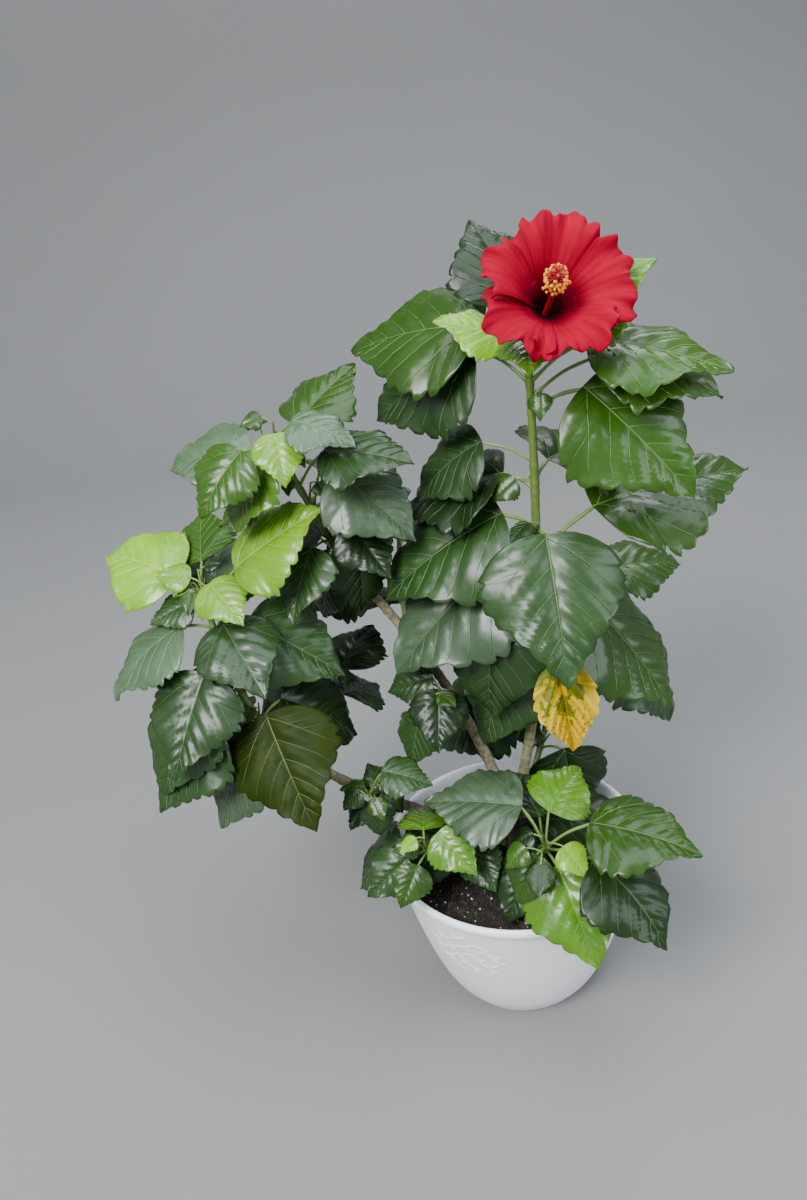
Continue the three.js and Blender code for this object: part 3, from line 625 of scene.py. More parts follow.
def blended(tree, factor, first, second):
    return put(tree, "ShaderNodeMix", {"Factor": factor, 6: first, 7: second}, 2, data_type="RGBA")


def mottle_group():
    tree, given = new_group("mottle", "ShaderNodeTree",
                            {"First": "Color", "Second": "Color", "Scale": 40.0, "Contrast": 2.0})
    place = put(tree, "ShaderNodeTexCoord", out="Object")
    cloud = put(tree, "ShaderNodeTexNoise", {"Vector": place, "Scale": given["Scale"], "Detail": 4.0})
    centred = put(tree, "ShaderNodeMath", {0: cloud, 1: 0.5}, operation="SUBTRACT")
    spread = put(tree, "ShaderNodeMath", {0: centred, 1: given["Contrast"], 2: 0.5},
                 operation="MULTIPLY_ADD", use_clamp=True)
    return closed_group(tree, "Colour", "Color", blended(tree, spread, given["First"], given["Second"]))


def grainy(tree, values):
    return put(tree, "ShaderNodeTexNoise", {**values, "Detail": 5.0})


def puffy(tree, values):
    cells = put(tree, "ShaderNodeTexVoronoi", values, feature="SMOOTH_F1")
    return put(tree, "ShaderNodeMath", {0: 1.0, 1: cells}, operation="SUBTRACT")


def bump_group(name, height_of, scale, strength, depth):
    tree, given = new_group(name, "ShaderNodeTree", {"Scale": scale, "Strength": strength, "Depth": depth})
    place = put(tree, "ShaderNodeTexCoord", out="Object")
    height = height_of(tree, {"Vector": place, "Scale": given["Scale"]})
    bump = put(tree, "ShaderNodeBump", {"Height": height, "Strength": given["Strength"],
                                        "Distance": given["Depth"]})
    return closed_group(tree, "Normal", "Vector", bump)


MOTTLE = mottle_group()
GRAIN = bump_group("grain", grainy, 400.0, 0.2, 0.0003)
NET = bump_group("leaf_net", puffy, 240.0, 0.5, 0.0006)
print("node groups:", [tree.name for tree in bpy.data.node_groups])

# %% [markdown]
# ## One function for every finish
# Bark, leaf, petal, plastic and soil differ in colours, in roughness and in the size of their grain.
# A function that takes these and joins two groups keeps all finishes alike and short to write.

# %% A finish from two groups
def grouped(tree, group, values):
    return put(tree, "ShaderNodeGroup", dict(enumerate(values)), node_tree=group)


def finish(name, first, second, scale=40.0, contrast=2.0, rough=0.5, grain=(400.0, 0.2, 0.0003), bump=GRAIN,
           **shader):
    material = bpy.data.materials.new(name)
    material.use_nodes = True
    tree = material.node_tree
    surface = tree.nodes["Principled BSDF"].inputs
    colour = grouped(tree, MOTTLE, ((*first, 1), (*second, 1), scale, contrast))
    tree.links.new(colour, surface["Base Color"])
    tree.links.new(grouped(tree, bump, grain), surface["Normal"])
    surface["Roughness"].default_value = rough
    for key, value in shader.items():
        surface[key.replace("_", " ")].default_value = value
    return material


def opened(material):
    base = material.node_tree.nodes["Principled BSDF"].inputs["Base Color"]
    return material.node_tree, base, base.links[0].from_socket


# %% [markdown]
# ## Leaf colours
# A leaf's age gives most of its colour: lime when it unfolds, then fresh green, then the bluish dark green of
# a mature blade with a waxy gloss. The painted sheen tone is painted light: a pale bluish green for the sky's
# sheen on a blade.
# Each tone has a blade, a paler underside and a pale vein.

# %% Leaf materials: name, blade, second colour of the blade, underside, vein
LEAF_TONES = {
    "l": ("lime", (0.11, 0.275, 0.006), (0.185, 0.37, 0.012), (0.24, 0.36, 0.07), (0.56, 0.74, 0.26)),
    "f": ("fresh", (0.048, 0.14, 0.003), (0.072, 0.185, 0.005), (0.14, 0.24, 0.05), (0.22, 0.36, 0.06)),
    "g": ("green", (0.019, 0.059, 0.003), (0.028, 0.078, 0.005), (0.085, 0.155, 0.036), (0.14, 0.24, 0.045)),
    "m": ("mature", (0.013, 0.04, 0.006), (0.02, 0.054, 0.01), (0.065, 0.125, 0.045), (0.11, 0.19, 0.055)),
    # The w tone is painted sheen: a paler bluish green that stands in for the sky's reflection on glossy
    # blades.
    "w": ("waxy", (0.036, 0.076, 0.03), (0.062, 0.108, 0.052), (0.075, 0.135, 0.055), (0.19, 0.28, 0.13)),
    "d": ("dark", (0.007, 0.021, 0.003), (0.011, 0.03, 0.005), (0.045, 0.09, 0.03), (0.07, 0.13, 0.035)),
    "o": ("olive", (0.008, 0.019, 0.001), (0.018, 0.03, 0.001), (0.08, 0.11, 0.03), (0.09, 0.11, 0.025)),
    "y": ("golden", (0.7, 0.5, 0.003), (0.62, 0.4, 0.002), (0.5, 0.36, 0.04), (0.6, 0.48, 0.03)),
    "t": ("turning", (0.13, 0.165, 0.004), (0.22, 0.225, 0.005), (0.22, 0.22, 0.04), (0.3, 0.3, 0.04)),
    "b": ("spotted", (0.36, 0.115, 0.003), (0.26, 0.075, 0.003), (0.3, 0.12, 0.02), (0.36, 0.16, 0.02)),
}
ROUGH = dict(zip("lfgmwdoytb", (0.30, 0.27, 0.30, 0.35, 0.36, 0.34, 0.50, 0.45, 0.42, 0.50)))
GLOSS = dict(zip("lfgmwdoytb", (0.48, 0.48, 0.34, 0.40, 0.48, 0.26, 0.10, 0.30, 0.30, 0.30)))
COATS, USUAL_COAT, COAT_ROUGH = {"o": 0.0, "m": 0.06}, 0.10, 0.16
SHADES = (0.86, 1.14)


def leaf_materials(tone, shade):
    name, *colours = LEAF_TONES[tone]
    blade, other, under, vein = [tuple(c * SHADES[shade] for c in colour) for colour in colours]
    label = f"{name}_{shade + 1}"
    return (finish(f"leaf_{label}", blade, other, 55.0, 2.2, ROUGH[tone], (190.0, 0.22, 0.0005), NET,
                   Specular_IOR_Level=GLOSS[tone], Coat_Weight=COATS.get(tone, USUAL_COAT),
                   Coat_Roughness=COAT_ROUGH),
            finish(f"underside_{label}", under, other, 60.0, 1.2, 0.62, (700.0, 0.3, 0.0003),
                   Specular_IOR_Level=0.35),
            finish(f"vein_{label}", vein, under, 90.0, 1.0, 0.42))


LEAF_LOOKS = {(tone, k): leaf_materials(tone, k) for tone in LEAF_TONES for k in range(len(SHADES))}
print(len(LEAF_LOOKS), "leaf colours, three finishes each")

# %% [markdown]
# ## Teeth, veins and quilting
# The edge has coarse forward teeth above a smooth base. A strong side vein leaves the rib at the base on
# each side, and weaker ones follow. The blade is puffed up between the veins, which is what breaks the
# light on a hibiscus leaf. Bump in a material would give the sparkle but not the outline or the puffs, so
# this is real shape.

# %% Where the teeth and the side veins are
TEETH, TOOTH_FROM, TOOTH_TO, TOOTH_DEPTH, TOOTH_PEAK = (6, 7, 8), 0.16, 0.93, 0.062, 0.74
TOOTH_ROUND, TOOTH_LEAST, TOOTH_UNEVEN, FIRST_TOOTH, TEETH_GROW = 0.8, 0.75, 0.35, 0.35, 1.6
TIP_FROM, FULL_BASE, TIP_PINCH = 0.45, 1.07, 0.52
VEIN_STARTS = (0.03, 0.22, 0.38, 0.53, 0.67, 0.79)
VEIN_SLOPE, VEIN_CURVE, VEIN_ENDS = 0.85, 0.55, (0.86, 1.05)
TWIG_STARTS, TWIG_SLOPE = (0.05, 0.13, 0.21), 0.22
QUILT, EDGE_WAVE, EDGE_WAVES = 0.023, 0.026, 2.4
RIB_FLAT, EDGE_FLAT, TIP_FLAT, WAVE_FROM = 0.07, 0.55, 0.2, 0.3


def tooth(leaf, teeth, u, v):
    phase = (u - TOOTH_FROM) / (TOOTH_TO - TOOTH_FROM) * teeth
    inside = (phase > 0) & (phase < teeth)
    t = phase % 1
    rising = np.sin(0.5 * math.pi * np.clip(t / TOOTH_PEAK, 0, 1)) ** TOOTH_ROUND
    shape = np.where(t < TOOTH_PEAK, rising, (1 - t) / (1 - TOOTH_PEAK))
    chance = np.sin(2.4 * np.floor(phase) + 40 * leaf["wave"] + 1.7 * np.sign(v))
    grown = np.clip(phase / TEETH_GROW + FIRST_TOOTH, 0, 1)
    return np.where(inside, (shape - 0.5) * (TOOTH_LEAST + TOOTH_UNEVEN * chance) * grown, 0.0)


def vein_number(u, y):
    start = u - VEIN_SLOPE * y - VEIN_CURVE * y * y
    upper = np.interp(start, (*VEIN_STARTS, *VEIN_ENDS), np.arange(len(VEIN_STARTS) + 2))
    reach = 2 * np.maximum(u - VEIN_STARTS[0] - TWIG_SLOPE * y, -0.18)
    twig = np.sqrt(np.maximum((VEIN_SLOPE - TWIG_SLOPE) ** 2 + reach, 0)) - (VEIN_SLOPE - TWIG_SLOPE)
    lower = -np.interp(twig, (-0.2, -0.02, *TWIG_STARTS, 0.3), (-4, -3, -2, -1, 0, 0))
    return np.where(start >= VEIN_STARTS[0], upper, lower)


def relief_of(leaf, u, v):
    y = np.abs(v) * BLADE_WIDTH * half_width(u)
    puff = 0.5 * (1 - np.cos(2 * math.pi * vein_number(u, y)))
    fade = np.clip(y / RIB_FLAT, 0, 1) * (1 - EDGE_FLAT * np.abs(v) ** 4) * np.clip((1 - u) / TIP_FLAT, 0, 1)
    wave = np.abs(v) ** 3 * np.sin(2 * math.pi * (EDGE_WAVES * u + leaf["wave"]) + np.sign(v))
    return leaf["size"] * (QUILT * puff * fade + EDGE_WAVE * wave * np.clip(u / WAVE_FROM, 0, 1))


# %% [markdown]
# ## The grid of a blade
# A blade's corners stand in rows across the rib. The rows are set where each tooth begins, peaks and ends,
# so a coarse grid still cuts sharp teeth. Small leaves get fewer rows, the golden leaf gets the most.

# %% The grid of one blade
BASE_ROWS, TIP_ROWS = (0.004, 0.02, 0.05, 0.08, 0.12), (TOOTH_TO, 0.965, 0.99)
TOOTH_ROWS = {"fine": (0.0, 0.18, 0.4, TOOTH_PEAK, 0.9), "coarse": (0.0, 0.4, TOOTH_PEAK),
              "finest": np.arange(12) / 12}
HALF_COLUMNS = {"fine": np.array([0, 0.05, 0.13, 0.23, 0.34, 0.46, 0.58, 0.70, 0.82, 0.93, 1]),
                "coarse": np.array([0, 0.12, 0.35, 0.6, 0.85, 1]), "finest": np.linspace(0, 1, 31)}
EDGE_ONLY, TOOTH_BY_WIDTH = 6, 0.6
GRIDS = {}
for kind, half in HALF_COLUMNS.items():
    for teeth in TEETH:
        phases = np.add.outer(np.arange(teeth), np.array(TOOTH_ROWS[kind])).ravel()
        toothed = TOOTH_FROM + (TOOTH_TO - TOOTH_FROM) * phases / teeth
        stations = np.concatenate([BASE_ROWS, toothed, TIP_ROWS])
        GRIDS[kind, teeth] = stations, np.concatenate([-half[:0:-1], half])
print("grids of a blade:", {label: (len(s), len(c)) for label, (s, c) in GRIDS.items()})


def blade_grid(leaf, label):
    u, v = np.meshgrid(*GRIDS[label], indexing="ij")
    pinch = FULL_BASE - TIP_PINCH * np.clip((u - TIP_FROM) / (1 - TIP_FROM), 0, 1)
    edge = np.abs(v) ** EDGE_ONLY * half_width(u) ** TOOTH_BY_WIDTH
    edge = TOOTH_DEPTH / BLADE_WIDTH * tooth(leaf, label[1], u, v) * edge
    return blade_point(leaf, u, v, half_width(u) * pinch + edge, relief_of(leaf, u, v))


# %% [markdown]
# ## A blade as a closed thin body
# The top and the underside share their grid, and the two ends of the rib close in a point.
# The faces of such a body are the same for each leaf, so they are listed once for each grid. A face and the
# one under it start at the same corner, so both are split along the same diagonal and never cross.
# On the golden leaf, noise gives some faces the green of its younger part or the brown of a speck.

# %% Faces of a blade
LEAF_THICK = 0.45
SPECK_LEVEL, SPECK_FROM, GREEN_FROM, GREEN_MIDDLE, GREEN_SIDES = 0.36, 0.45, 0.62, 0.45, 1.5


def blade_faces(rows, columns):
    base = rows * columns
    tip, layer = base + 1, base + 2
    top = [(base, j, j + 1) for j in range(columns - 1)] + grid_faces(rows, columns)
    top += [(j, tip, j + 1) for j in range(base - columns, base - 1)]
    under = flipped(top, layer)
    left = [base, *range(0, base, columns), tip]
    right = [base, *range(columns - 1, base, columns), tip]
    rim = [(a, a + layer, b + layer, b) for a, b in zip(left, left[1:])]
    rim += [(b, b + layer, a + layer, a) for a, b in zip(right, right[1:])]
    return top + under + rim, [0] * len(top) + [1] * len(under + rim)


def blade_places(stations, columns):
    return np.vstack([leaf_places(*np.meshgrid(stations, columns, indexing="ij")), [[0, 0.5], [1, 0.5]]])


BLADES = {label: (*blade_faces(len(s), len(c)), blade_places(s, c)) for label, (s, c) in GRIDS.items()}
print("faces of a blade:", {label: len(blade[0]) for label, blade in BLADES.items()})


def add_blade(heap, leaf, label, first_slot):
    surface, turned = blade_grid(leaf, label)
    ends, ends_up = blade_point(leaf, [0, 1], [0, 0])
    top = np.vstack([surface.reshape(-1, 3), ends])
    lift = np.vstack([turned.reshape(-1, 3), ends_up])
    faces, sides, places = BLADES[label]
    slots = [first_slot + s for s in sides]
    if leaf["tone"] == "y":
        slots = turning_slots(faces, slots, places, heap)
    heap.add(np.vstack([top, top - lift * LEAF_THICK]), faces, slots, np.vstack([places, places]))
    return surface, turned


def blot(u, v, wide, high, layer):
    return noise.noise(Vector((wide * u, high * v, layer)))


def turning_slots(faces, slots, places, heap):
    def slot_of(face, slot):
        u, v = places[[c % len(places) for c in face]].mean(0)
        cloud = blot(u, v, 5, 4, 3.0) + 0.45 * blot(u, v, 19, 15, 8.0)
        speck = blot(u, v, 34, 26, 1.0) + 0.4 * blot(u, v, 7, 6, 5.0)
        if speck > SPECK_LEVEL and u > SPECK_FROM:
            return heap.spotted
        return heap.turning if cloud > u + GREEN_SIDES * abs(v - GREEN_MIDDLE) - GREEN_FROM else slot
    return [slot_of(face, slot) for face, slot in zip(faces, slots)]


# %% [markdown]
# ## Veins
# A vein is a slim raised ridge that lies on the grid of its blade. Between two of its corners the blade may
# bulge, so its crest is lifted by what the blade rises there, and the line is never broken into dots.
# It has its own paler material.

# %% Vein ridges
RIB, FIRST_VEIN, SIDE_VEIN, TWIG = 1.0, 0.75, 0.5, 0.36
RIB_SPAN, VEIN_FROM, VEIN_TO, TWIG_TO, VEIN_OUT, VEIN_UP = (0.006, 0.965), 0.004, 0.45, 0.5, 0.93, 0.97
VEIN_WIDE, VEIN_TAPER, VEIN_HIGH, VEIN_SUNK = 0.0070, 0.35, 0.38, 0.08
VEIN_LOOKS, BULGE_MOST, BELOW_FROM = (0.2, 0.4, 0.6, 0.8), 0.9, 0.4


def on_grid(grid, label, u, v):
    stations, columns = GRIDS[label]
    i = np.clip(np.searchsorted(stations, u) - 1, 0, len(stations) - 2)
    j = np.clip(np.searchsorted(columns, v) - 1, 0, len(columns) - 2)
    a = np.clip((u - stations[i]) / (stations[i + 1] - stations[i]), 0, 1)[:, None]
    b = np.clip((v - columns[j]) / (columns[j + 1] - columns[j]), 0, 1)[:, None]
    near = grid[i, j] * (1 - b) + grid[i, j + 1] * b
    far = grid[i + 1, j] * (1 - b) + grid[i + 1, j + 1] * b
    return near * (1 - a) + far * a


def vein_lines(steps):
    lines = [(np.linspace(*RIB_SPAN, 2 * steps), np.zeros(2 * steps), RIB)]
    for side in (-1, 1):
        for n, start in enumerate(VEIN_STARTS):
            y = np.linspace(VEIN_FROM, VEIN_TO, 6 * steps)
            u = start + VEIN_SLOPE * y + VEIN_CURVE * y * y
            lines.append((u, side * y, SIDE_VEIN if n else FIRST_VEIN))
        for start in TWIG_STARTS:
            y = np.linspace(start, TWIG_TO, 6 * steps)
            foot = VEIN_STARTS[0] + VEIN_SLOPE * start + VEIN_CURVE * start * start
            lines.append((foot + TWIG_SLOPE * (y - start), side * y, TWIG))
    kept = []
    for u, y, weight in lines:
        v = y / (BLADE_WIDTH * np.maximum(half_width(np.clip(u, 0, 0.999)), 1e-3))
        inside = (np.abs(v) < VEIN_OUT) & (u < VEIN_UP)
        u, v = u[inside], v[inside]
        count = max(3, int(steps * (1.5 if weight == RIB else weight + 0.3)))
        pick = np.unique(np.linspace(0, len(u) - 1, count).astype(int))
        kept.append((u[pick], v[pick], weight))
    return kept


VEINS = {label: vein_lines(6 if label[0] == "coarse" else 12) for label in GRIDS}
print("lines on one side of a blade:", {label: len(lines) for label, lines in VEINS.items()})


def bulge_between(grid, up, label, u, v, side):
    at = on_grid(grid, label, u, v)
    above = np.zeros(len(u) - 1)
    for t in VEIN_LOOKS:
        blade = on_grid(grid, label, u[:-1] + t * np.diff(u), v[:-1] + t * np.diff(v))
        straight = at[:-1] + t * np.diff(at, axis=0)
        above = np.maximum(above, side * ((blade - straight) * up[:-1]).sum(1))
    return np.minimum(np.maximum(np.append(above, 0), np.insert(above, 0, 0)), BULGE_MOST)


def ridge(grid, turned, label, line, side):
    u, v, weight = line
    scale = BLADE_WIDTH * half_width(u)
    du, dy = np.gradient(u), np.gradient(v * scale)
    half = VEIN_WIDE * weight * (1 - (1 - VEIN_TAPER) * np.linspace(0, 1, len(u))) / np.hypot(du, dy)
    off_u, off_v = -dy * half, du * half / scale
    up = on_grid(turned, label, u, v)
    up = up / np.linalg.norm(up, axis=1)[:, None]
    thick = 0 if side > 0 else LEAF_THICK
    high = (VEIN_HIGH * (0.5 + weight) + bulge_between(grid, up, label, u, v, side))[:, None]
    middle = on_grid(grid, label, u, v) + up * (side * high - thick)
    left, right = [on_grid(grid, label, u + way * off_u, v + way * off_v) - up * (side * VEIN_SUNK + thick)
                   for way in (1, -1)]
    return np.stack([left, middle, right], 1).reshape(-1, 3)


def ridge_faces(count, side):
    faces = [(3 * k + a, 3 * k + b, 3 * k + b + 3, 3 * k + a + 3)
             for k in range(count - 1) for a, b in ((0, 1), (1, 2), (2, 0))]
    faces += [(2, 1, 0), (3 * count - 3, 3 * count - 2, 3 * count - 1)]
    return faces if side > 0 else [tuple(reversed(face)) for face in faces]


def add_veins(heap, label, slot, surface, turned):
    for side in (1, -1):
        for line in VEINS[label]:
            if side < 0 and line[2] < BELOW_FROM:
                continue
            corners = ridge(surface, turned, label, line, side)
            heap.add(corners, ridge_faces(len(line[0]), side), slot)


# %% [markdown]
# ## The leaves of a mass
# Each mass gets one joined piece of leaves, with three material slots for each tone that it has.

# %% Build the leaves
SMALL_LEAF, GOLDEN_SHARE = 34, 0.381966


def leaves_piece(name, leaves):
    heap = Heap()
    for n, leaf in enumerate(leaves):
        leaf["wave"] = (n * GOLDEN_SHARE) % 1
        leaf["look"] = leaf["tone"], n % len(SHADES)
    looks = sorted({leaf["look"] for leaf in leaves})
    if any(leaf["tone"] == "y" for leaf in leaves):
        looks += [("t", 0), ("b", 0)]
        heap.turning, heap.spotted = 3 * looks.index(("t", 0)), 3 * looks.index(("b", 0))
    for n, leaf in enumerate(leaves):
        kind = "finest" if leaf["tone"] == "y" else "coarse" if leaf["size"] < SMALL_LEAF else "fine"
        label = kind, TEETH[n % len(TEETH)]
        first = 3 * looks.index(leaf["look"])
        surface, turned = add_blade(heap, leaf, label, first)
        add_veins(heap, label, first + 2, surface, turned)
    return heap.mesh(name, [material for look in looks for material in LEAF_LOOKS[look]])


for name in grown:
    shown("leaves_" + name, leaves_piece("leaves_" + name, leaves_of(name)), "leaf", "foliage_" + name)

# %% [markdown]
# ## Limbs on their paths
# Trunk, boughs, stems and leaf stalks are all tubes that follow a path. Geometry Nodes sweep a ring along
# each path, scale it by a thickness kept on the path's points, and push the skin in and out by noise for
# the bark. Skinning by hand would work as well, but one tree of nodes serves every limb.

# %% The tree that sweeps a limb
def dressed(tree, given, label, shape):
    whole = put(tree, "GeometryNodeRealizeInstances", {0: shape})
    skin = put(tree, "GeometryNodeSetMaterial", {"Geometry": whole, "Material": given["Material"]})
    return closed_group(tree, label, "Geometry", skin)


def limb_tree():
    tree, given = new_group("limb_on_path", "GeometryNodeTree", {
        "Path": "Geometry", "Sides": 12, "Relief": 0.0, "Relief Scale": 300.0, "Seed": 1.0,
        "Material": "Material"})
    path = put(tree, "GeometryNodeMeshToCurve", {0: given["Path"]})
    thick = put(tree, "GeometryNodeInputNamedAttribute", {"Name": "thick"}, data_type="FLOAT")
    ring = put(tree, "GeometryNodeCurvePrimitiveCircle", {"Resolution": given["Sides"], "Radius": 1.0})
    skin = put(tree, "GeometryNodeCurveToMesh", {"Curve": path, "Profile Curve": ring, "Scale": thick,
                                                 "Fill Caps": True})
    place = put(tree, "GeometryNodeInputPosition")
    flatter = put(tree, "ShaderNodeVectorMath", {0: place, 1: (1.0, 1.0, 0.4)}, operation="MULTIPLY")
    cloud = put(tree, "ShaderNodeTexNoise", {"Vector": flatter, "Scale": given["Relief Scale"],
                                             "W": given["Seed"], "Detail": 3.0}, noise_dimensions="4D")
    depth = put(tree, "ShaderNodeMath", {0: cloud, 1: 0.5}, operation="SUBTRACT")
    amount = put(tree, "ShaderNodeMath", {0: depth, 1: given["Relief"]}, operation="MULTIPLY")
    normal = put(tree, "GeometryNodeInputNormal")
    push = put(tree, "ShaderNodeVectorMath", {0: normal, "Scale": amount}, operation="SCALE")
    moved = put(tree, "GeometryNodeSetPosition", {"Geometry": skin, "Offset": push})
    smooth = put(tree, "GeometryNodeSetShadeSmooth", {"Geometry": moved})
    return dressed(tree, given, "Limb", smooth)


LIMB_TREE = limb_tree()
print("inputs and output of the limb tree:", [item.name for item in LIMB_TREE.interface.items_tree])


def evaluated(name, mesh, tree, **inputs):
    holder = hung(name + "_holder", mesh)
    modifier = holder.modifiers.new(tree.name, "NODES")
    modifier.node_group = tree
    for item in tree.interface.items_tree:
        if item.item_type == "SOCKET" and item.in_out == "INPUT" and item.name in inputs:
            modifier[item.identifier] = inputs[item.name]
    return own_mesh(holder, name)


# %% [markdown]
# ## Paths as data for the nodes
# A limb is handed to the nodes as a line of points that carry a thickness and an age. The line is rounded
# by a spline through the few points of the growth rule, so that no kink shows where a stem sets off.

# %% Paths with a thickness and an age
def smooth_path(points, step):
    points = [np.asarray(p, float) for p in points]
    padded = [2 * points[0] - points[1], *points, 2 * points[-1] - points[-2]]
    out = []
    for k in range(1, len(padded) - 2):
        a, b, c, d = padded[k - 1:k + 3]
        count = max(1, round(np.linalg.norm(c - b) / step))
        for j in range(count):
            t = j / count
            out.append(0.5 * (2 * b + (c - a) * t + (2 * a - 5 * b + 4 * c - d) * t ** 2
                              + (3 * b - a - 3 * c + d) * t ** 3))
    return np.array(out + [points[-1]])


class Paths:
    def __init__(self):
        self.points, self.edges, self.thick, self.age = [], [], [], []

    def add(self, points, radii, ages=(0, 0)):
        first = len(self.points)
        count = len(points)
        t = np.linspace(0, 1, count)
        self.points += [tuple(p * MM) for p in points]
        self.edges += [(first + k, first + k + 1) for k in range(count - 1)]
        self.thick += list(np.interp(t, np.linspace(0, 1, len(radii)), radii) * MM)
        self.age += list(np.interp(t, np.linspace(0, 1, len(ages)), ages))

    def mesh(self, name):
        mesh = bpy.data.meshes.new(name)
        mesh.from_pydata(self.points, self.edges, [])
        for label, values in (("thick", self.thick), ("age", self.age)):
            mesh.attributes.new(label, "FLOAT", "POINT").data.foreach_set("value", values)
        return mesh

    def show(self, name, slot, sides, material, *nodes, relief=0.0, scale=300.0, seed=1.0):
        limbs = evaluated(name, self.mesh(name + "_paths"), LIMB_TREE, Sides=sides, Relief=relief,
                          Seed=seed, Material=material, **{"Relief Scale": scale})
        shown(name, limbs, slot, *nodes)


# %% [markdown]
# ## Bark, green stems and leaf stalks
# Old wood is grey-brown and rough, with swollen rings where leaves once sat. Young stems are green and
# smooth. The age kept on each path blends the two, as on the plant, where the change is gradual.

# %% Stem materials
YOUNG_STEM = (0.085, 0.145, 0.018), (0.125, 0.195, 0.030)
OLD_BARK = (0.13, 0.105, 0.065, 1), (0.30, 0.25, 0.17, 1)


def aged_material(name, rough, grain):
    material = finish(name, *YOUNG_STEM, 160.0, 1.6, rough, grain)
    tree, base, fresh = opened(material)
    bark = grouped(tree, MOTTLE, (*OLD_BARK, 260.0, 3.5))
    age = put(tree, "ShaderNodeAttribute", out="Fac", attribute_name="age")
    tree.links.new(blended(tree, age, fresh, bark), base)
    return material


BARK = aged_material("bark", 0.8, (500.0, 0.8, 0.0009))
STEM = aged_material("green_stem", 0.5, (700.0, 0.35, 0.0004))
STALK = finish("leaf_stalk", (0.13, 0.225, 0.040), (0.19, 0.285, 0.065), 120.0, 1.5, 0.45)
print("stem finishes:", [material.name for material in (BARK, STEM, STALK)])

# %% [markdown]
# ## Stump and boughs
# Three boughs rise from a short stump with a flare at the soil. Fine rings mark where old leaves fell.
# The relief is real shape here, since the bark's edge shows against the pale pot and the soil.

# %% The wood: stump and boughs
LIMB_STEP, RING_EVERY, RING_WIDE, RING_SWELL = 1.5, 17.0, 1.6, 0.45
STUMP_TOP, STUMP_STEP = FORK[2] + 3, 1.2
STUMP = [(SOIL_LEVEL - 6, TRUNK_FLARE), (SOIL_LEVEL, TRUNK_FLARE), (SOIL_LEVEL + 4, TRUNK_RADIUS + 1.6),
         (SOIL_LEVEL + 12, TRUNK_RADIUS), (LOW_FORK[2] + 4, TRUNK_RADIUS - 0.9), (STUMP_TOP, TRUNK_NECK - 1)]


def ringed(length, first, last):
    reach = np.arange(0, length, 1.0)
    ring = np.exp(-((reach % RING_EVERY - RING_EVERY / 2) / RING_WIDE) ** 2)
    return mix(first, last, reach / length) + RING_SWELL * ring


def wood_paths():
    paths = Paths()
    stump = np.array([vec(0, 0, z) for z in np.arange(STUMP[0][0], STUMP_TOP, STUMP_STEP)])
    paths.add(stump, np.interp(stump[:, 2], *zip(*STUMP)), [1, 1])
    for name, limb in BOUGHS.items():
        ages = (1.0, 0.35) if name == "tall" else (1.0, 0.75)
        paths.add(smooth_path(course(limb), LIMB_STEP), ringed(limb["length"], *limb["radius"]), ages)
    return paths


wood_paths().show("wood", "bark", 28, BARK, "trunk", *[f"bough_{name}" for name in BOUGHS],
                  relief=0.0021, scale=330.0, seed=3.0)

# %% [markdown]
# ## Green stems
# Each mass hangs on one stem, which is woody at its foot and green at its tip. It swells a little where a
# leaf stands, so the swelling is set from the place of each leaf rather than at even steps.

# %% The stems of the masses, with a swelling at each leaf
STEM_IN_BOUGH, NODE_SWELL, NODE_MOST, NODE_WIDE, NODE_LOOKS = 4.0, 0.5, 0.6, 2.2, 40


def stem_radii(mass, leaves, count):
    t = np.linspace(0, 1, count)
    plain = mix(*mass["radius"], t)
    radii = plain
    places = [along(course(mass), k / NODE_LOOKS)[0] for k in range(NODE_LOOKS + 1)]
    for leaf in leaves:
        nearest = min(range(NODE_LOOKS + 1), key=lambda k: np.linalg.norm(places[k] - leaf["at"]))
        off = (t - nearest / NODE_LOOKS) * mass["length"]
        radii = radii + NODE_SWELL * np.exp(-(off / NODE_WIDE) ** 2)
    return np.minimum(radii, plain + NODE_MOST)


def stem_paths():
    paths = Paths()
    for name, plan in MASSES.items():
        mass = rooted(plan)
        points = course(mass)
        if mass["limb"] != "trunk" and "at" not in mass:
            points = [points[0] - mass["limb_way"] * STEM_IN_BOUGH, *points]
        path = smooth_path(points, LIMB_STEP)
        woody = 0.75 if name in ("left_high", "left_low") else 0.3
        paths.add(path, stem_radii(mass, grown[name], len(path)), (woody, 0.15, 0.0, 0.0))
        for shoot in shoots[name]:
            paths.add(smooth_path(shoot["points"], 2.0), (1.1, 0.9, 0.7), (0.1, 0))
    return paths


stem_paths().show("stems", "leaf", 16, STEM, relief=0.0006, scale=420.0, seed=8.0)

# %% [markdown]
# ## Leaf stalks
# A stalk is thicker at both ends and bows up a little. Two small pointed scales stand at its foot.
# All of them are paths for the same tree of nodes, joined in one piece.

# %% Leaf stalks and the small pointed scales beside them
STALK_SHAPE, STALK_THIN, STALK_MORE, STALK_ON = (1.5, 1, 1, 1.15, 0.8), 0.45, 0.0085, 0.02
SCALE_SHAPE, SCALE_LENGTH = (0.55, 0.4, 0.12), 6.5


def stalk_path(leaf):
    foot, knee, _ = stalk_points(leaf)
    rib, up = blade_point(leaf, STALK_ON, 0.0)
    return smooth_path([foot, knee, rib - up * 0.5], 2.5)


def scale_path(leaf, side):
    out = unit(leaf["stalk"] + side * 0.8 * np.cross(leaf["stem_way"], leaf["stalk"])) * SCALE_LENGTH
    foot, way = leaf["at"], leaf["stem_way"]
    return smooth_path([foot, foot + 0.55 * out + 0.6 * way, foot + out + 3 * way], 2.0)


def stalk_paths():
    paths = Paths()
    for name, leaves in grown.items():
        for leaf in leaves_of(name):
            paths.add(stalk_path(leaf), np.array(STALK_SHAPE) * (STALK_THIN + STALK_MORE * leaf["size"]))
        for leaf in leaves:
            for side in (-1, 1):
                paths.add(scale_path(leaf, side), SCALE_SHAPE)
    return paths


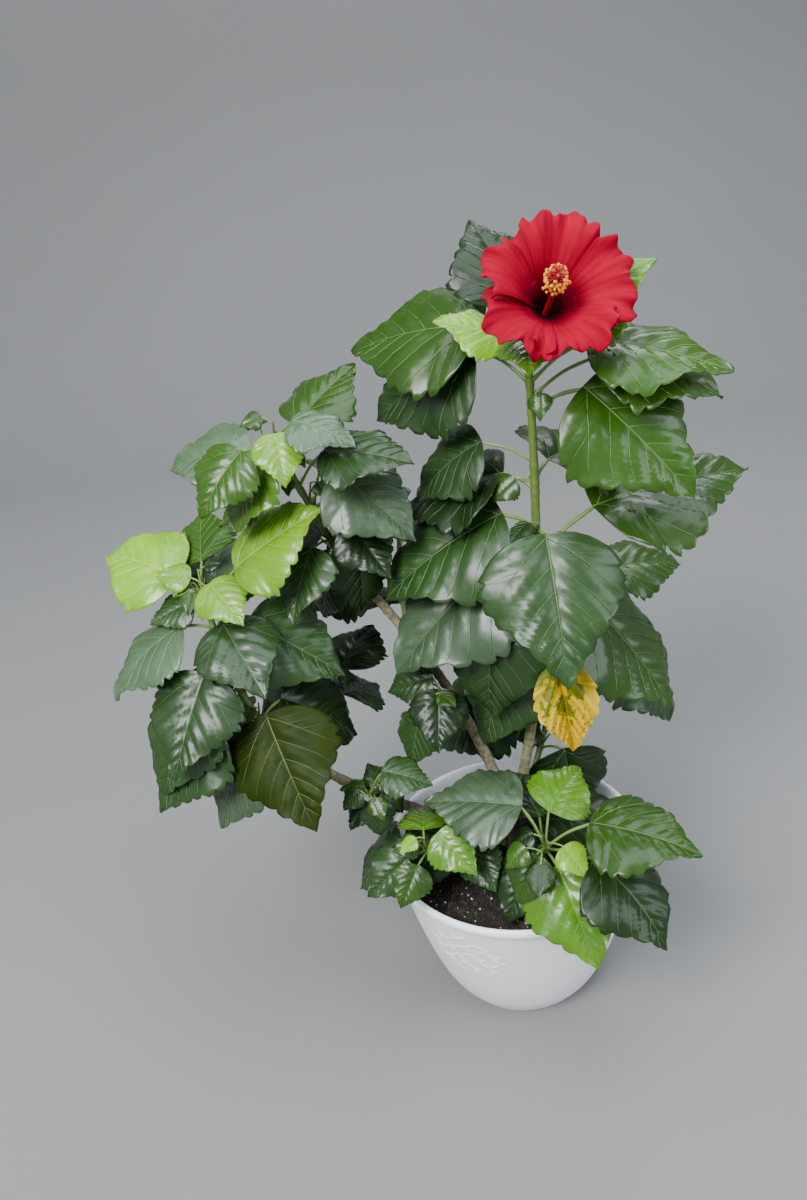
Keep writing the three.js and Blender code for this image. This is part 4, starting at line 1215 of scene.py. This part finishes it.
stalk_paths().show("leaf_stalks", "leaf", 8, STALK)

# %% [markdown]
# ## The bloom
# Five broad petals overlap like a pinwheel round a throat that is painted dark as shade. Each is a fan: its
# rays leave the throat, and its margin is longer than the arc it spans, so it has to ruffle. The same is true
# of the real petal, whose edge grows faster than its middle.

# %% Petal material
# THROAT_SHADE_RED is painted shade: a nearly black red laid into the throat where the deep funnel lies in
# shadow.
RAY_RED, THROAT_SHADE_RED, THROAT_SHADE_FADE = (0.17, 0.0, 0.006, 1), (0.016, 0.0, 0.001, 1), ((0.16, 1), (0.50, 0))


def petal_material():
    material = finish("petal", (0.25, 0.0, 0.0125), (0.35, 0.0, 0.0220), 60.0, 1.8, 0.7,
                      (300.0, 0.15, 0.0004), Sheen_Weight=0.02, Sheen_Roughness=0.4,
                      Sheen_Tint=(1.0, 0.10, 0.40, 1), Specular_IOR_Level=0.05)
    tree, base, red = opened(material)
    place = put(tree, "ShaderNodeUVMap", uv_map="place")
    # The ramp paints shade into the throat: the red turns nearly black near the throat and fades out halfway
    # up the petal.
    depth = put(tree, "ShaderNodeValToRGB", {0: put(tree, "ShaderNodeSeparateXYZ", {0: place})})
    for stop, (position, white) in zip(depth.node.color_ramp.elements, THROAT_SHADE_FADE):
        stop.position = position
        stop.color = (white, white, white, 1)
    rays = put(tree, "ShaderNodeMapping", {"Vector": place, "Scale": (2.2, 34.0, 1.0)})
    streak = put(tree, "ShaderNodeTexNoise", {"Vector": rays, "Scale": 1.0, "Detail": 3.0})
    veined = put(tree, "ShaderNodeMapRange", {"Value": streak, "From Min": 0.5, "From Max": 0.7,
                                              "To Min": 0.0, "To Max": 0.45})
    darker = blended(tree, veined, red, RAY_RED)
    tree.links.new(blended(tree, depth, darker, THROAT_SHADE_RED), base)
    return material


PETAL = petal_material()
print("nodes of the petal finish:", len(PETAL.node_tree.nodes))

# %% [markdown]
# ## Ruffled petals
# The surface of a petal is worked out from its ray and its angle: it climbs steeply out of the throat and
# flares, waves grow towards its margin, and the margin itself is lobed. Cloth would ruffle too, but not twice
# alike. A short funnel behind the petals closes the throat.

# %% The petals
PETAL_FAN, PETAL_RAYS, PETAL_RINGS, PETAL_THICK = 46, 81, 50, 0.7
PETAL_LONG, PETAL_TILT = (0.96, 1.0, 1.03, 0.95, 1.0), (-2.0, 3.0, -1.0, 4.0, -3.0)
NOTCHES, NARROWING = ((0.05, 6.5, 2.1), (0.035, 14, 1.3), (0.012, 31, 1)), 0.15
RUFFLE, CRINKLE, FRILL, FOLD, PLEAT, CURL_BACK = 6.5, 2.0, 0.6, 1.3, 0.22, 5.0
THROAT_TO, THROAT_BEHIND, THROAT_RINGS, THROAT_RAYS = 0.34, 1.2, 10, 61


def petal_profile(s):
    ray = THROAT + (PETAL_REACH - 1) * s ** 1.12
    return ray, PETAL_RISE * (1 - (1 - s) ** PETAL_FLARE) - CURL_BACK * s ** 6


def petal_waves(k, s, v):
    ruffle = RUFFLE * s ** 3 * (0.35 + 0.65 * np.abs(v)) * np.sin(7.5 * v + 2.5 * s + 2.3 * k)
    crinkle = CRINKLE * s ** 6 * np.sin(19 * v + 1.7 * k + 2 * s) + FRILL * s ** 8 * np.sin(43 * v + 3 * k)
    fold = FOLD * s * np.cos(7 * v + k) + PLEAT * np.sin(30 * v + 2 * s)
    return v * PETAL_OVERLAP * s ** 0.8 + ruffle + crinkle + PETAL_TILT[k] * s * s + fold


def petal_surface(k, s, v):
    out = petal_way(k)
    ray, rise = petal_profile(s)
    notch = sum(deep * np.sin(often * v + shift * k) for deep, often, shift in NOTCHES)
    ray = ray * (1 + (notch - NARROWING * np.abs(v) ** 3) * s ** 3) * (1 - (1 - PETAL_LONG[k]) * s ** 2)
    spread = math.radians(PETAL_FAN) * v
    across = out * np.cos(spread)[..., None] + np.cross(FACING, out) * np.sin(spread)[..., None]
    return PETAL_FOOT + (rise + petal_waves(k, s, v))[..., None] * FACING + ray[..., None] * across


def throat_surface(s, turn):
    ray, rise = petal_profile(s)
    return PETAL_FOOT + (rise - THROAT_BEHIND)[..., None] * FACING + ray[..., None] * off_axis(turn)


def slab_faces(rows, columns):
    layer = rows * columns
    top = grid_faces(rows, columns)
    loop = [*range(columns), *range(2 * columns - 1, layer, columns)]
    loop += [*range(layer - 2, layer - columns - 1, -1), *range(layer - 2 * columns, 0, -columns)]
    rim = [(a, b, b + layer, a + layer) for a, b in zip(loop, loop[1:] + loop[:1])]
    return top + flipped(top, layer) + rim


def slab(heap, top, places):
    normal = np.cross(np.gradient(top, axis=0), np.gradient(top, axis=1))
    normal /= np.linalg.norm(normal, axis=2)[..., None]
    both = np.vstack([top.reshape(-1, 3), (top - normal * PETAL_THICK).reshape(-1, 3)])
    heap.add(both, slab_faces(*top.shape[:2]), places=np.vstack([places, places]))


def petals_mesh():
    heap = Heap()
    s, v = np.meshgrid(np.linspace(0.0, 1, PETAL_RINGS), np.linspace(-1, 1, PETAL_RAYS), indexing="ij")
    for k in range(PETALS):
        slab(heap, petal_surface(k, s, v), leaf_places(s, v))
    s = np.linspace(0.0, THROAT_TO, THROAT_RINGS)
    s, turn = np.meshgrid(s, np.linspace(0, 2 * math.pi, THROAT_RAYS), indexing="ij")
    slab(heap, throat_surface(s, turn), np.stack([s.ravel(), turn.ravel()], 1))
    return heap.mesh("petals", [PETAL])


shown("petals", petals_mesh(), "petal", "flower_petals")

# %% [markdown]
# ## Column, anthers and stigmas
# The red column stands out of the throat. Many short threads leave it near its end, each with a yellow
# grain, and five red stigmas crown it. Geometry Nodes set one grain on each thread's tip.

# %% The tree that sets grains on points
ANY_TURN = (6.28, 6.28, 6.28)


def any_vector(tree, given, least, most):
    return put(tree, "FunctionNodeRandomValue", {0: least, 1: most, "Seed": given["Seed"]},
               data_type="FLOAT_VECTOR")


def strewn(tree, given, points, stone, size):
    turn = any_vector(tree, given, (0, 0, 0), ANY_TURN)
    return put(tree, "GeometryNodeInstanceOnPoints", {"Points": points, "Instance": stone, "Rotation": turn,
                                                      "Scale": size})


def grain_tree():
    tree, given = new_group("grains_on_points", "GeometryNodeTree", {
        "Points": "Geometry", "Size": 0.001, "Seed": 1, "Material": "Material"})
    ball = put(tree, "GeometryNodeMeshIcoSphere", {"Radius": given["Size"], "Subdivisions": 2})
    smooth = put(tree, "GeometryNodeSetShadeSmooth", {"Geometry": ball})
    size = any_vector(tree, given, (0.7, 0.7, 0.55), (1.25, 1.1, 0.8))
    return dressed(tree, given, "Grains", strewn(tree, given, given["Points"], smooth, size))


GRAIN_TREE = grain_tree()

# %% [markdown]
# ## Column and threads
# The column, its threads and its stigmas are paths once more. The threads follow each other by the golden
# angle, like the leaves, and their lengths are drawn by a seed, so the brush of anthers looks loose.

# %% The column and its threads
THREADS, THREAD_FROM, THREAD_TO, THREAD_OUT, THREAD_UP = 66, 0.70, 0.97, (5.2, 8.2), 5
STIGMAS, STIGMA_REACH, COLUMN_SWAY, TIP_SEED = 5, 4.6, 3, 77
COLUMN_START, COLUMN_END = CALYX_LENGTH + 2, CALYX_LENGTH + 9 + 2 * CLEAR + COLUMN_LENGTH - 12
COLUMN_RED = finish("column_red", (0.26, 0.001, 0.006), (0.42, 0.006, 0.02), 200.0, 1.5, 0.45)
ANTHER_GOLD = finish("anther_gold", (0.74, 0.22, 0.002), (0.86, 0.38, 0.008), 500.0, 3.0, 0.7,
                     (2500.0, 0.6, 0.0003))


def column_point(t):
    return FLOWER_FOOT + FACING * mix(COLUMN_START, COLUMN_END, t) + FLOWER_SIDE * COLUMN_SWAY * t * t


def threads():
    rows = []
    chances = draws(TIP_SEED)
    for n in range(THREADS):
        foot = column_point(mix(THREAD_FROM, THREAD_TO, n / THREADS))
        out = off_axis(math.radians(DIVERGENCE * n))
        rows.append((foot, foot + out * mix(*THREAD_OUT, next(chances)) + FACING * THREAD_UP * next(chances)))
    return rows


def column_paths(rows):
    paths = Paths()
    column = np.array([column_point(t) for t in np.linspace(0, 1, 40)])
    paths.add(column, (COLUMN_RADIUS + 0.6, COLUMN_RADIUS, COLUMN_RADIUS, COLUMN_RADIUS - 0.3))
    for foot, tip in rows:
        paths.add(smooth_path([foot, mix(foot, tip, 0.5) + FACING * 0.5, tip], 1.0), (0.32, 0.2))
    end = column_point(1.0)
    for k in range(STIGMAS):
        out = off_axis(2 * math.pi * k / STIGMAS) * STIGMA_REACH
        path = smooth_path([end - FACING, end + FACING * 3 + out * 0.35, end + FACING * 4 + out], 0.8)
        paths.add(path, (0.8, 0.55, 0.5, 1.2, 1.0))
    return paths


rows = threads()
column_paths(rows).show("column", "column", 10, COLUMN_RED, "flower_column")
tips = bpy.data.meshes.new("thread_tips")
tips.from_pydata([tuple(tip * MM) for _, tip in rows], [], [])
anthers = evaluated("anthers", tips, GRAIN_TREE, Size=0.00125, Seed=5, Material=ANTHER_GOLD)
shown("anthers", anthers, "column")

# %% [markdown]
# ## Calyx and flower stalk
# The bloom sits in a green cup with five points, ringed by seven slim bracts, on a stalk that leaves the
# stem's tip. The cup is turned round the bloom's axis, and its wall is closed inside.

# %% The calyx
CUP_SIDES, CUP_LOBES, CUP_WALL, CUP_FLOOR, LOBE_HIGH, LOBE_FLARE = 60, 5, 0.9, 3, 5.0, 1.6
CUP_FOOT, CUP_SWELL, LOBE_FROM, CUP_STEPS = 2.0, 4.6, 0.6, (0.0, 0.15, 0.35, 0.6, 0.8, 1.0)
BRACTS, BRACT_LENGTH = 7, 11
CALYX_GREEN = finish("calyx_green", (0.065, 0.155, 0.016), (0.110, 0.210, 0.028), 150.0, 1.6, 0.5)


def cup_mesh():
    turn = np.linspace(0, 2 * math.pi, CUP_SIDES, endpoint=False)
    lobe = 0.5 + 0.5 * np.cos(CUP_LOBES * turn)
    rings = []
    for t in CUP_STEPS:
        rise = LOBE_HIGH * max(t - LOBE_FROM, 0) / (1 - LOBE_FROM) * lobe
        rings.append((CUP_FOOT + CUP_SWELL * t ** 0.6, CALYX_LENGTH * t + rise))
    rings += [(r - CUP_WALL, h) for r, h in reversed(rings[1:])]
    corners = []
    for r, h in rings:
        wide = r + LOBE_FLARE * np.clip((h - CALYX_LENGTH) / LOBE_HIGH, 0, 1)
        corners.append(FLOWER_FOOT + FACING * h[:, None] + off_axis(turn) * wide[:, None])
    corners.append([FLOWER_FOOT, FLOWER_FOOT + FACING * CUP_FLOOR])
    heap = Heap()
    heap.add(np.vstack(corners), turned_faces(len(rings), CUP_SIDES))
    return heap.mesh("calyx", [CALYX_GREEN])


shown("calyx", cup_mesh(), "leaf")


def flower_stalk_paths():
    paths = Paths()
    tip = course(rooted(MASSES["tall"]))[-1]
    behind = FLOWER_FOOT - FACING * STALK_BACK
    bend = [tip - UP * 6, mix(tip, behind, 0.5) + UP * 2.5, behind, FLOWER_FOOT + FACING * 2]
    paths.add(smooth_path(bend, 1.0), (2.6, 1.7, 1.5, 2.1))
    for k in range(BRACTS):
        out = off_axis(2 * math.pi * k / BRACTS)
        bract = [FLOWER_FOOT + FACING * high + out * wide
                 for high, wide in ((1.5, 2.2), (0.5 * BRACT_LENGTH, 6.5), (BRACT_LENGTH, 9))]
        paths.add(smooth_path(bract, 1.5), (0.7, 0.9, 0.15))
    return paths


flower_stalk_paths().show("flower_stalk", "leaf", 12, CALYX_GREEN)

# %% [markdown]
# ## The pot
# A moulded bowl of white plastic with a rolled lip and a stepped foot. It is turned from one outline. The
# front wall has a low raised ornament of plain wave lines. It is pushed out of the wall as shape.

# %% Pot outline and wave lines
WIDE_SIDES, PANEL_SIDES, WALL_ROWS = 180, 130, 122
PANEL_TURN, PANEL_HEIGHT, PANEL_HALF = 236, 97, (38, 29)
WAVE_LONG, WAVE_STEP, WAVE_HIGH, WAVE_THICK, WAVE_DEPTH, WAVE_SHIFT = 19.0, 8.2, 2.4, 1.0, 0.85, 1.9
GAP_LONG, GAP_SHIFT, GAP_SHARP, GAP_SHARE, PANEL_FADE = 27, 2.6, 4, 3.4, 6
LIP_ROUND, FOOT_SLANT, WALL_FOOT, INNER_ROWS = 2.2, 0.6, FLOOR + 6, 40
WHITE = finish("white_plastic", (0.91, 0.92, 0.93), (0.95, 0.96, 0.96), 18.0, 1.8, 0.38,
               (900.0, 0.12, 0.0002), Specular_IOR_Level=0.5)


def pot_outline():
    lip_foot = POT_HEIGHT - LIP_HEIGHT
    half = (LIP_HEIGHT - 1.5) / 2
    lip_inside, foot = RIM_RADIUS - LIP_OUT - WALL, FOOT_RADIUS - FOOT_STEP
    outside = [(pot_radius(z), z) for z in np.linspace(FOOT_HEIGHT, lip_foot, WALL_ROWS)]
    lip = [(RIM_RADIUS - LIP_ROUND + LIP_ROUND * math.cos(a), lip_foot + 1 + half + half * math.sin(a))
           for a in np.linspace(-math.pi / 2, math.pi / 2, 13)]
    inside = [(pot_radius(z) - WALL, z) for z in np.linspace(POT_HEIGHT - 4, WALL_FOOT, INNER_ROWS)]
    return [(foot - FOOT_SLANT, 0), (foot, FOOT_SLANT), (foot, FOOT_HEIGHT - 1), *outside, *lip,
            (RIM_RADIUS - 2.6, POT_HEIGHT), (lip_inside + 1, POT_HEIGHT - 0.3), (lip_inside, POT_HEIGHT - 2),
            *inside, (FOOT_RADIUS - WALL - 4, FLOOR)]


def wave_lines(x, z):
    row = np.round(z / WAVE_STEP)
    phase = 2 * math.pi * x / WAVE_LONG + WAVE_SHIFT * row
    off = z - row * WAVE_STEP - WAVE_HIGH * np.sin(phase)
    off = np.minimum(np.abs(off), np.minimum(np.abs(off - WAVE_STEP), np.abs(off + WAVE_STEP)))
    steep = np.hypot(1, 2 * math.pi * WAVE_HIGH / WAVE_LONG * np.cos(phase))
    line = np.clip(1.5 - off / steep / WAVE_THICK, 0, 1)
    gaps = np.clip(GAP_SHARP * np.sin(2 * math.pi * x / GAP_LONG + GAP_SHIFT * row) + GAP_SHARE, 0, 1)
    inside = np.hypot(x / PANEL_HALF[0], z / PANEL_HALF[1])
    return WAVE_DEPTH * line * gaps * np.clip(PANEL_FADE * (1 - inside), 0, 1)


# %% [markdown]
# ## Turning the pot
# The outline is turned about the upright axis. The turn has finer steps where the wave lines are, because
# relief as real shape needs corners of its own size. Drain holes are cut by a Boolean, as a drill would.

# %% Turn the pot
PANEL_SPREAD, PANEL_RADIUS, FOOT_ROWS = math.radians(24), 100, 3
WIDE_TURN = np.linspace(PANEL_SPREAD, 2 * math.pi - PANEL_SPREAD, WIDE_SIDES, endpoint=False)
PANEL_FINE = np.linspace(-PANEL_SPREAD, PANEL_SPREAD, PANEL_SIDES, endpoint=False)
POT_TURN = np.concatenate([PANEL_FINE, WIDE_TURN]) + math.radians(PANEL_TURN)


def turned_mesh(name, outline, turn, material, shape):
    radii, heights = np.array(outline, float).T
    r, z = shape(*[np.repeat(values[:, None], len(turn), 1) for values in (radii, heights)], turn)
    corners = np.stack([r * np.cos(turn), r * np.sin(turn), z], 2).reshape(-1, 3)
    corners = np.vstack([corners, [[0, 0, heights[0]], [0, 0, z[-1].mean()]]])
    heap = Heap()
    heap.add(corners, turned_faces(len(outline), len(turn)))
    return heap.mesh(name, [material])


def with_waves(r, z, turn):
    outer = np.zeros(r.shape, bool)
    outer[FOOT_ROWS:FOOT_ROWS + WALL_ROWS] = True
    x = (turn[None, :] - math.radians(PANEL_TURN)) * PANEL_RADIUS
    raised = wave_lines(np.broadcast_to(x, r.shape), z - PANEL_HEIGHT)
    return np.where(outer, r + raised, r), z


def drilled(holder, k):
    a = 2 * math.pi * (k + 0.25) / DRAIN_COUNT
    place = (DRAIN_RING * math.cos(a) * MM, DRAIN_RING * math.sin(a) * MM, FLOOR / 2 * MM)
    bpy.ops.mesh.primitive_cylinder_add(vertices=40, radius=DRAIN_RADIUS * MM, depth=4 * FLOOR * MM,
                                        location=place)
    cut = holder.modifiers.new(f"drain_{k}", "BOOLEAN")
    cut.object = bpy.context.object
    cut.operation = "DIFFERENCE"
    cut.solver = "EXACT"
    return cut.object


def pot_mesh():
    holder = hung("pot_blank", turned_mesh("pot_blank", pot_outline(), POT_TURN, WHITE, with_waves))
    cutters = [drilled(holder, k) for k in range(DRAIN_COUNT)]
    mesh = own_mesh(holder, "pot_shell")
    for cutter in cutters:
        bpy.data.objects.remove(cutter)
    return mesh


shown("pot_shell", pot_mesh(), "pot", "pot")

# %% [markdown]
# ## The soil
# Dark potting mix, coarse and loose, with bits of bark and a few pale grains of perlite. The bed is turned
# like the pot and made uneven by noise. Geometry Nodes scatter the crumbs over its upper face.

# %% Soil bed
SOIL_BUMPS, SOIL_FINE, SOIL_DROP, SOIL_SCALE = 2.6, 0.4, 0.8, 60.0
SOIL = finish("soil", (0.010, 0.009, 0.007), (0.028, 0.022, 0.016), 220.0, 3.0, 0.95, (600.0, 1.0, 0.002))
CRUMB = finish("soil_crumbs", (0.014, 0.011, 0.009), (0.060, 0.043, 0.030), 130.0, 4.0, 0.9,
               (900.0, 0.8, 0.001))
PERLITE = finish("perlite", (0.46, 0.43, 0.37), (0.62, 0.60, 0.55), 300.0, 2.0, 0.9)


def uneven(r, z, turn):
    z = z.copy()
    for k in range(r.shape[0]):
        if z[k, 0] < SOIL_LEVEL - 0.01:
            continue
        for j, a in enumerate(turn):
            place = Vector((r[k, j] * math.cos(a), r[k, j] * math.sin(a), 0)) * MM * SOIL_SCALE
            z[k, j] += SOIL_BUMPS * (noise.noise(place) + SOIL_FINE * noise.noise(place * 3)) - SOIL_DROP
    return r, z


def soil_outline():
    side = [(pot_radius(z) - WALL - CLEAR, z) for z in np.linspace(WALL_FOOT, SOIL_LEVEL, 14)]
    top = [(r, SOIL_LEVEL) for r in np.linspace(pot_radius(SOIL_LEVEL) - WALL - 1.5, 2, 46)]
    return [(FOOT_RADIUS - WALL - 5, FLOOR + CLEAR), *side, *top]


SOIL_TURN = np.linspace(0, 2 * math.pi, 120, endpoint=False)
soil_bed = turned_mesh("soil_bed", soil_outline(), SOIL_TURN, SOIL, uneven)
shown("soil_bed", soil_bed, "soil", "soil")

# %% [markdown]
# ## Loose crumbs
# Crumbs and perlite are the same small stones in two sizes and colours, scattered by seed on the upper
# faces of the bed only. Geometry Nodes do it with named inputs, so their number is easy to change.

# %% Scatter crumbs and perlite
def scatter_tree():
    tree, given = new_group("scatter_on_top", "GeometryNodeTree", {
        "Ground": "Geometry", "Density": 10000.0, "Smallest": 0.0008, "Largest": 0.003, "Seed": 1,
        "Material": "Material"})
    normal = put(tree, "GeometryNodeInputNormal")
    rise = put(tree, "ShaderNodeSeparateXYZ", {0: normal}, "Z")
    upper = put(tree, "FunctionNodeCompare", {0: rise, 1: 0.5}, operation="GREATER_THAN")
    points = put(tree, "GeometryNodeDistributePointsOnFaces", {
        "Mesh": given["Ground"], "Selection": upper, "Density": given["Density"], "Seed": given["Seed"]})
    stone = put(tree, "GeometryNodeMeshIcoSphere", {"Radius": 1.0, "Subdivisions": 1})
    size = put(tree, "FunctionNodeRandomValue", {
        2: given["Smallest"], 3: given["Largest"], "Seed": given["Seed"]}, 1, data_type="FLOAT")
    squeeze = any_vector(tree, given, (1.0, 0.6, 0.4), (1.5, 1.0, 0.8))
    shape = put(tree, "ShaderNodeVectorMath", {0: squeeze, "Scale": size}, operation="SCALE")
    return dressed(tree, given, "Crumbs", strewn(tree, given, points, stone, shape))


SCATTER_TREE = scatter_tree()
for name, material, density, smallest, largest, seed in (
        ("soil_crumbs", CRUMB, 70000.0, 0.0009, 0.0026, 4), ("perlite", PERLITE, 9000.0, 0.0006, 0.0016, 9)):
    stones = evaluated(name, soil_bed.copy(), SCATTER_TREE, Density=density, Smallest=smallest,
                       Largest=largest, Seed=seed, Material=material)
    shown(name, stones, "soil")

# %% [markdown]
# ## Floor
# A pale sweep of paper stands in for the ground: floor and background in one. A corner between them would
# show as a line behind the plant, and a curve between them doesn't.

# %% Floor
SWEEP_FRONT, SWEEP_BACK, SWEEP_ROUND, SWEEP_TOP, SWEEP_SIDE = -4.0, 1.4, 0.8, 4.0, 4.0


def sweep_mesh():
    bend = np.linspace(0.1, math.pi / 2, 14)
    line = [(SWEEP_FRONT, 0.0), (SWEEP_BACK, 0.0)]
    line += [(SWEEP_BACK + SWEEP_ROUND * math.sin(a), SWEEP_ROUND * (1 - math.cos(a))) for a in bend]
    line.append((SWEEP_BACK + SWEEP_ROUND, SWEEP_TOP))
    mesh = bpy.data.meshes.new("sweep")
    faces = [(2 * k, 2 * k + 1, 2 * k + 3, 2 * k + 2) for k in range(len(line) - 1)]
    mesh.from_pydata([(x, y, z) for y, z in line for x in (-SWEEP_SIDE, SWEEP_SIDE)], [], faces)
    mesh.polygons.foreach_set("use_smooth", [True] * len(faces))
    mesh.materials.append(finish("paper", (0.20, 0.20, 0.195), (0.215, 0.215, 0.21), 3.0, 1.0, 0.9))
    return mesh


hung("floor", sweep_mesh())

# %% [markdown]
# ## Light
# A key light from the upper left front gives the leaves their bright bands. A wide bluish one overhead is
# the sky, a weaker one fills the right side, and one behind sets the crown off from the paper.

# %% Light
PLANT_MIDDLE = Vector((-0.05, 0.0, 0.33))
LAMPS = [
    ("key", (-1.0, -1.4, 2.0), 1.1, 90.0, (0.98, 0.985, 1.0)),
    ("sky", (0.1, -0.1, 2.4), 1.9, 45.0, (0.84, 0.93, 1.0)),
    ("fill", (1.7, -0.9, 1.2), 1.4, 24.0, (0.88, 0.94, 1.0)),
    ("back", (0.5, 1.3, 1.8), 1.0, 15.0, (0.92, 0.96, 1.0)),
]
for name, place, size, power, colour in LAMPS:
    lamp = bpy.data.lights.new(name, "AREA")
    lamp.shape = "DISK"
    lamp.size = size
    lamp.energy = power
    lamp.color = colour
    holder = hung(name, lamp)
    holder.location = place
    holder.rotation_euler = (PLANT_MIDDLE - Vector(place)).to_track_quat("-Z", "Y").to_euler()
world = bpy.data.worlds.new("soft_sky")
world.use_nodes = True
sky = world.node_tree.nodes["Background"].inputs
sky["Color"].default_value = (0.80, 0.87, 0.95, 1)
sky["Strength"].default_value = 0.70
bpy.context.scene.world = world
print(len(LAMPS), "lamps and a pale sky")

# %% [markdown]
# ## Camera
# The camera looks down on the plant as the photograph does, from about 0.74 m up and 0.66 m in front. The
# lens has 1000 pixels of focal length on a picture 1200 pixels high. The camera looks down by 28 degrees
# and is rolled by six and a half, which was read from the lean of the pot and of its rim.

# %% Camera
CAMERA_AT, CAMERA_PITCH, CAMERA_ROLL = Vector((-0.072, -0.662, 0.738)), 28.0, -6.5
IMAGE_HEIGHT, FOCAL_PIXELS, SENSOR = 1200, 1000, 36.0


def camera_turn():
    pitch, roll = math.radians(CAMERA_PITCH), math.radians(CAMERA_ROLL)
    forward = Vector((0, math.cos(pitch), -math.sin(pitch)))
    right = Vector((1, 0, 0))
    up = right.cross(forward)
    turned_right = right * math.cos(roll) + up * math.sin(roll)
    turned_up = up * math.cos(roll) - right * math.sin(roll)
    return Matrix((turned_right, turned_up, -forward)).transposed().to_4x4()


camera_data = bpy.data.cameras.new("camera")
camera_data.sensor_width = SENSOR
camera_data.lens = FOCAL_PIXELS / IMAGE_HEIGHT * SENSOR
camera_data.clip_start = 0.01
camera = hung("camera", camera_data)
camera.matrix_world = Matrix.Translation(CAMERA_AT) @ camera_turn()
bpy.context.scene.camera = camera
print("camera at", tuple(CAMERA_AT), "lens", round(camera_data.lens, 2), "mm")
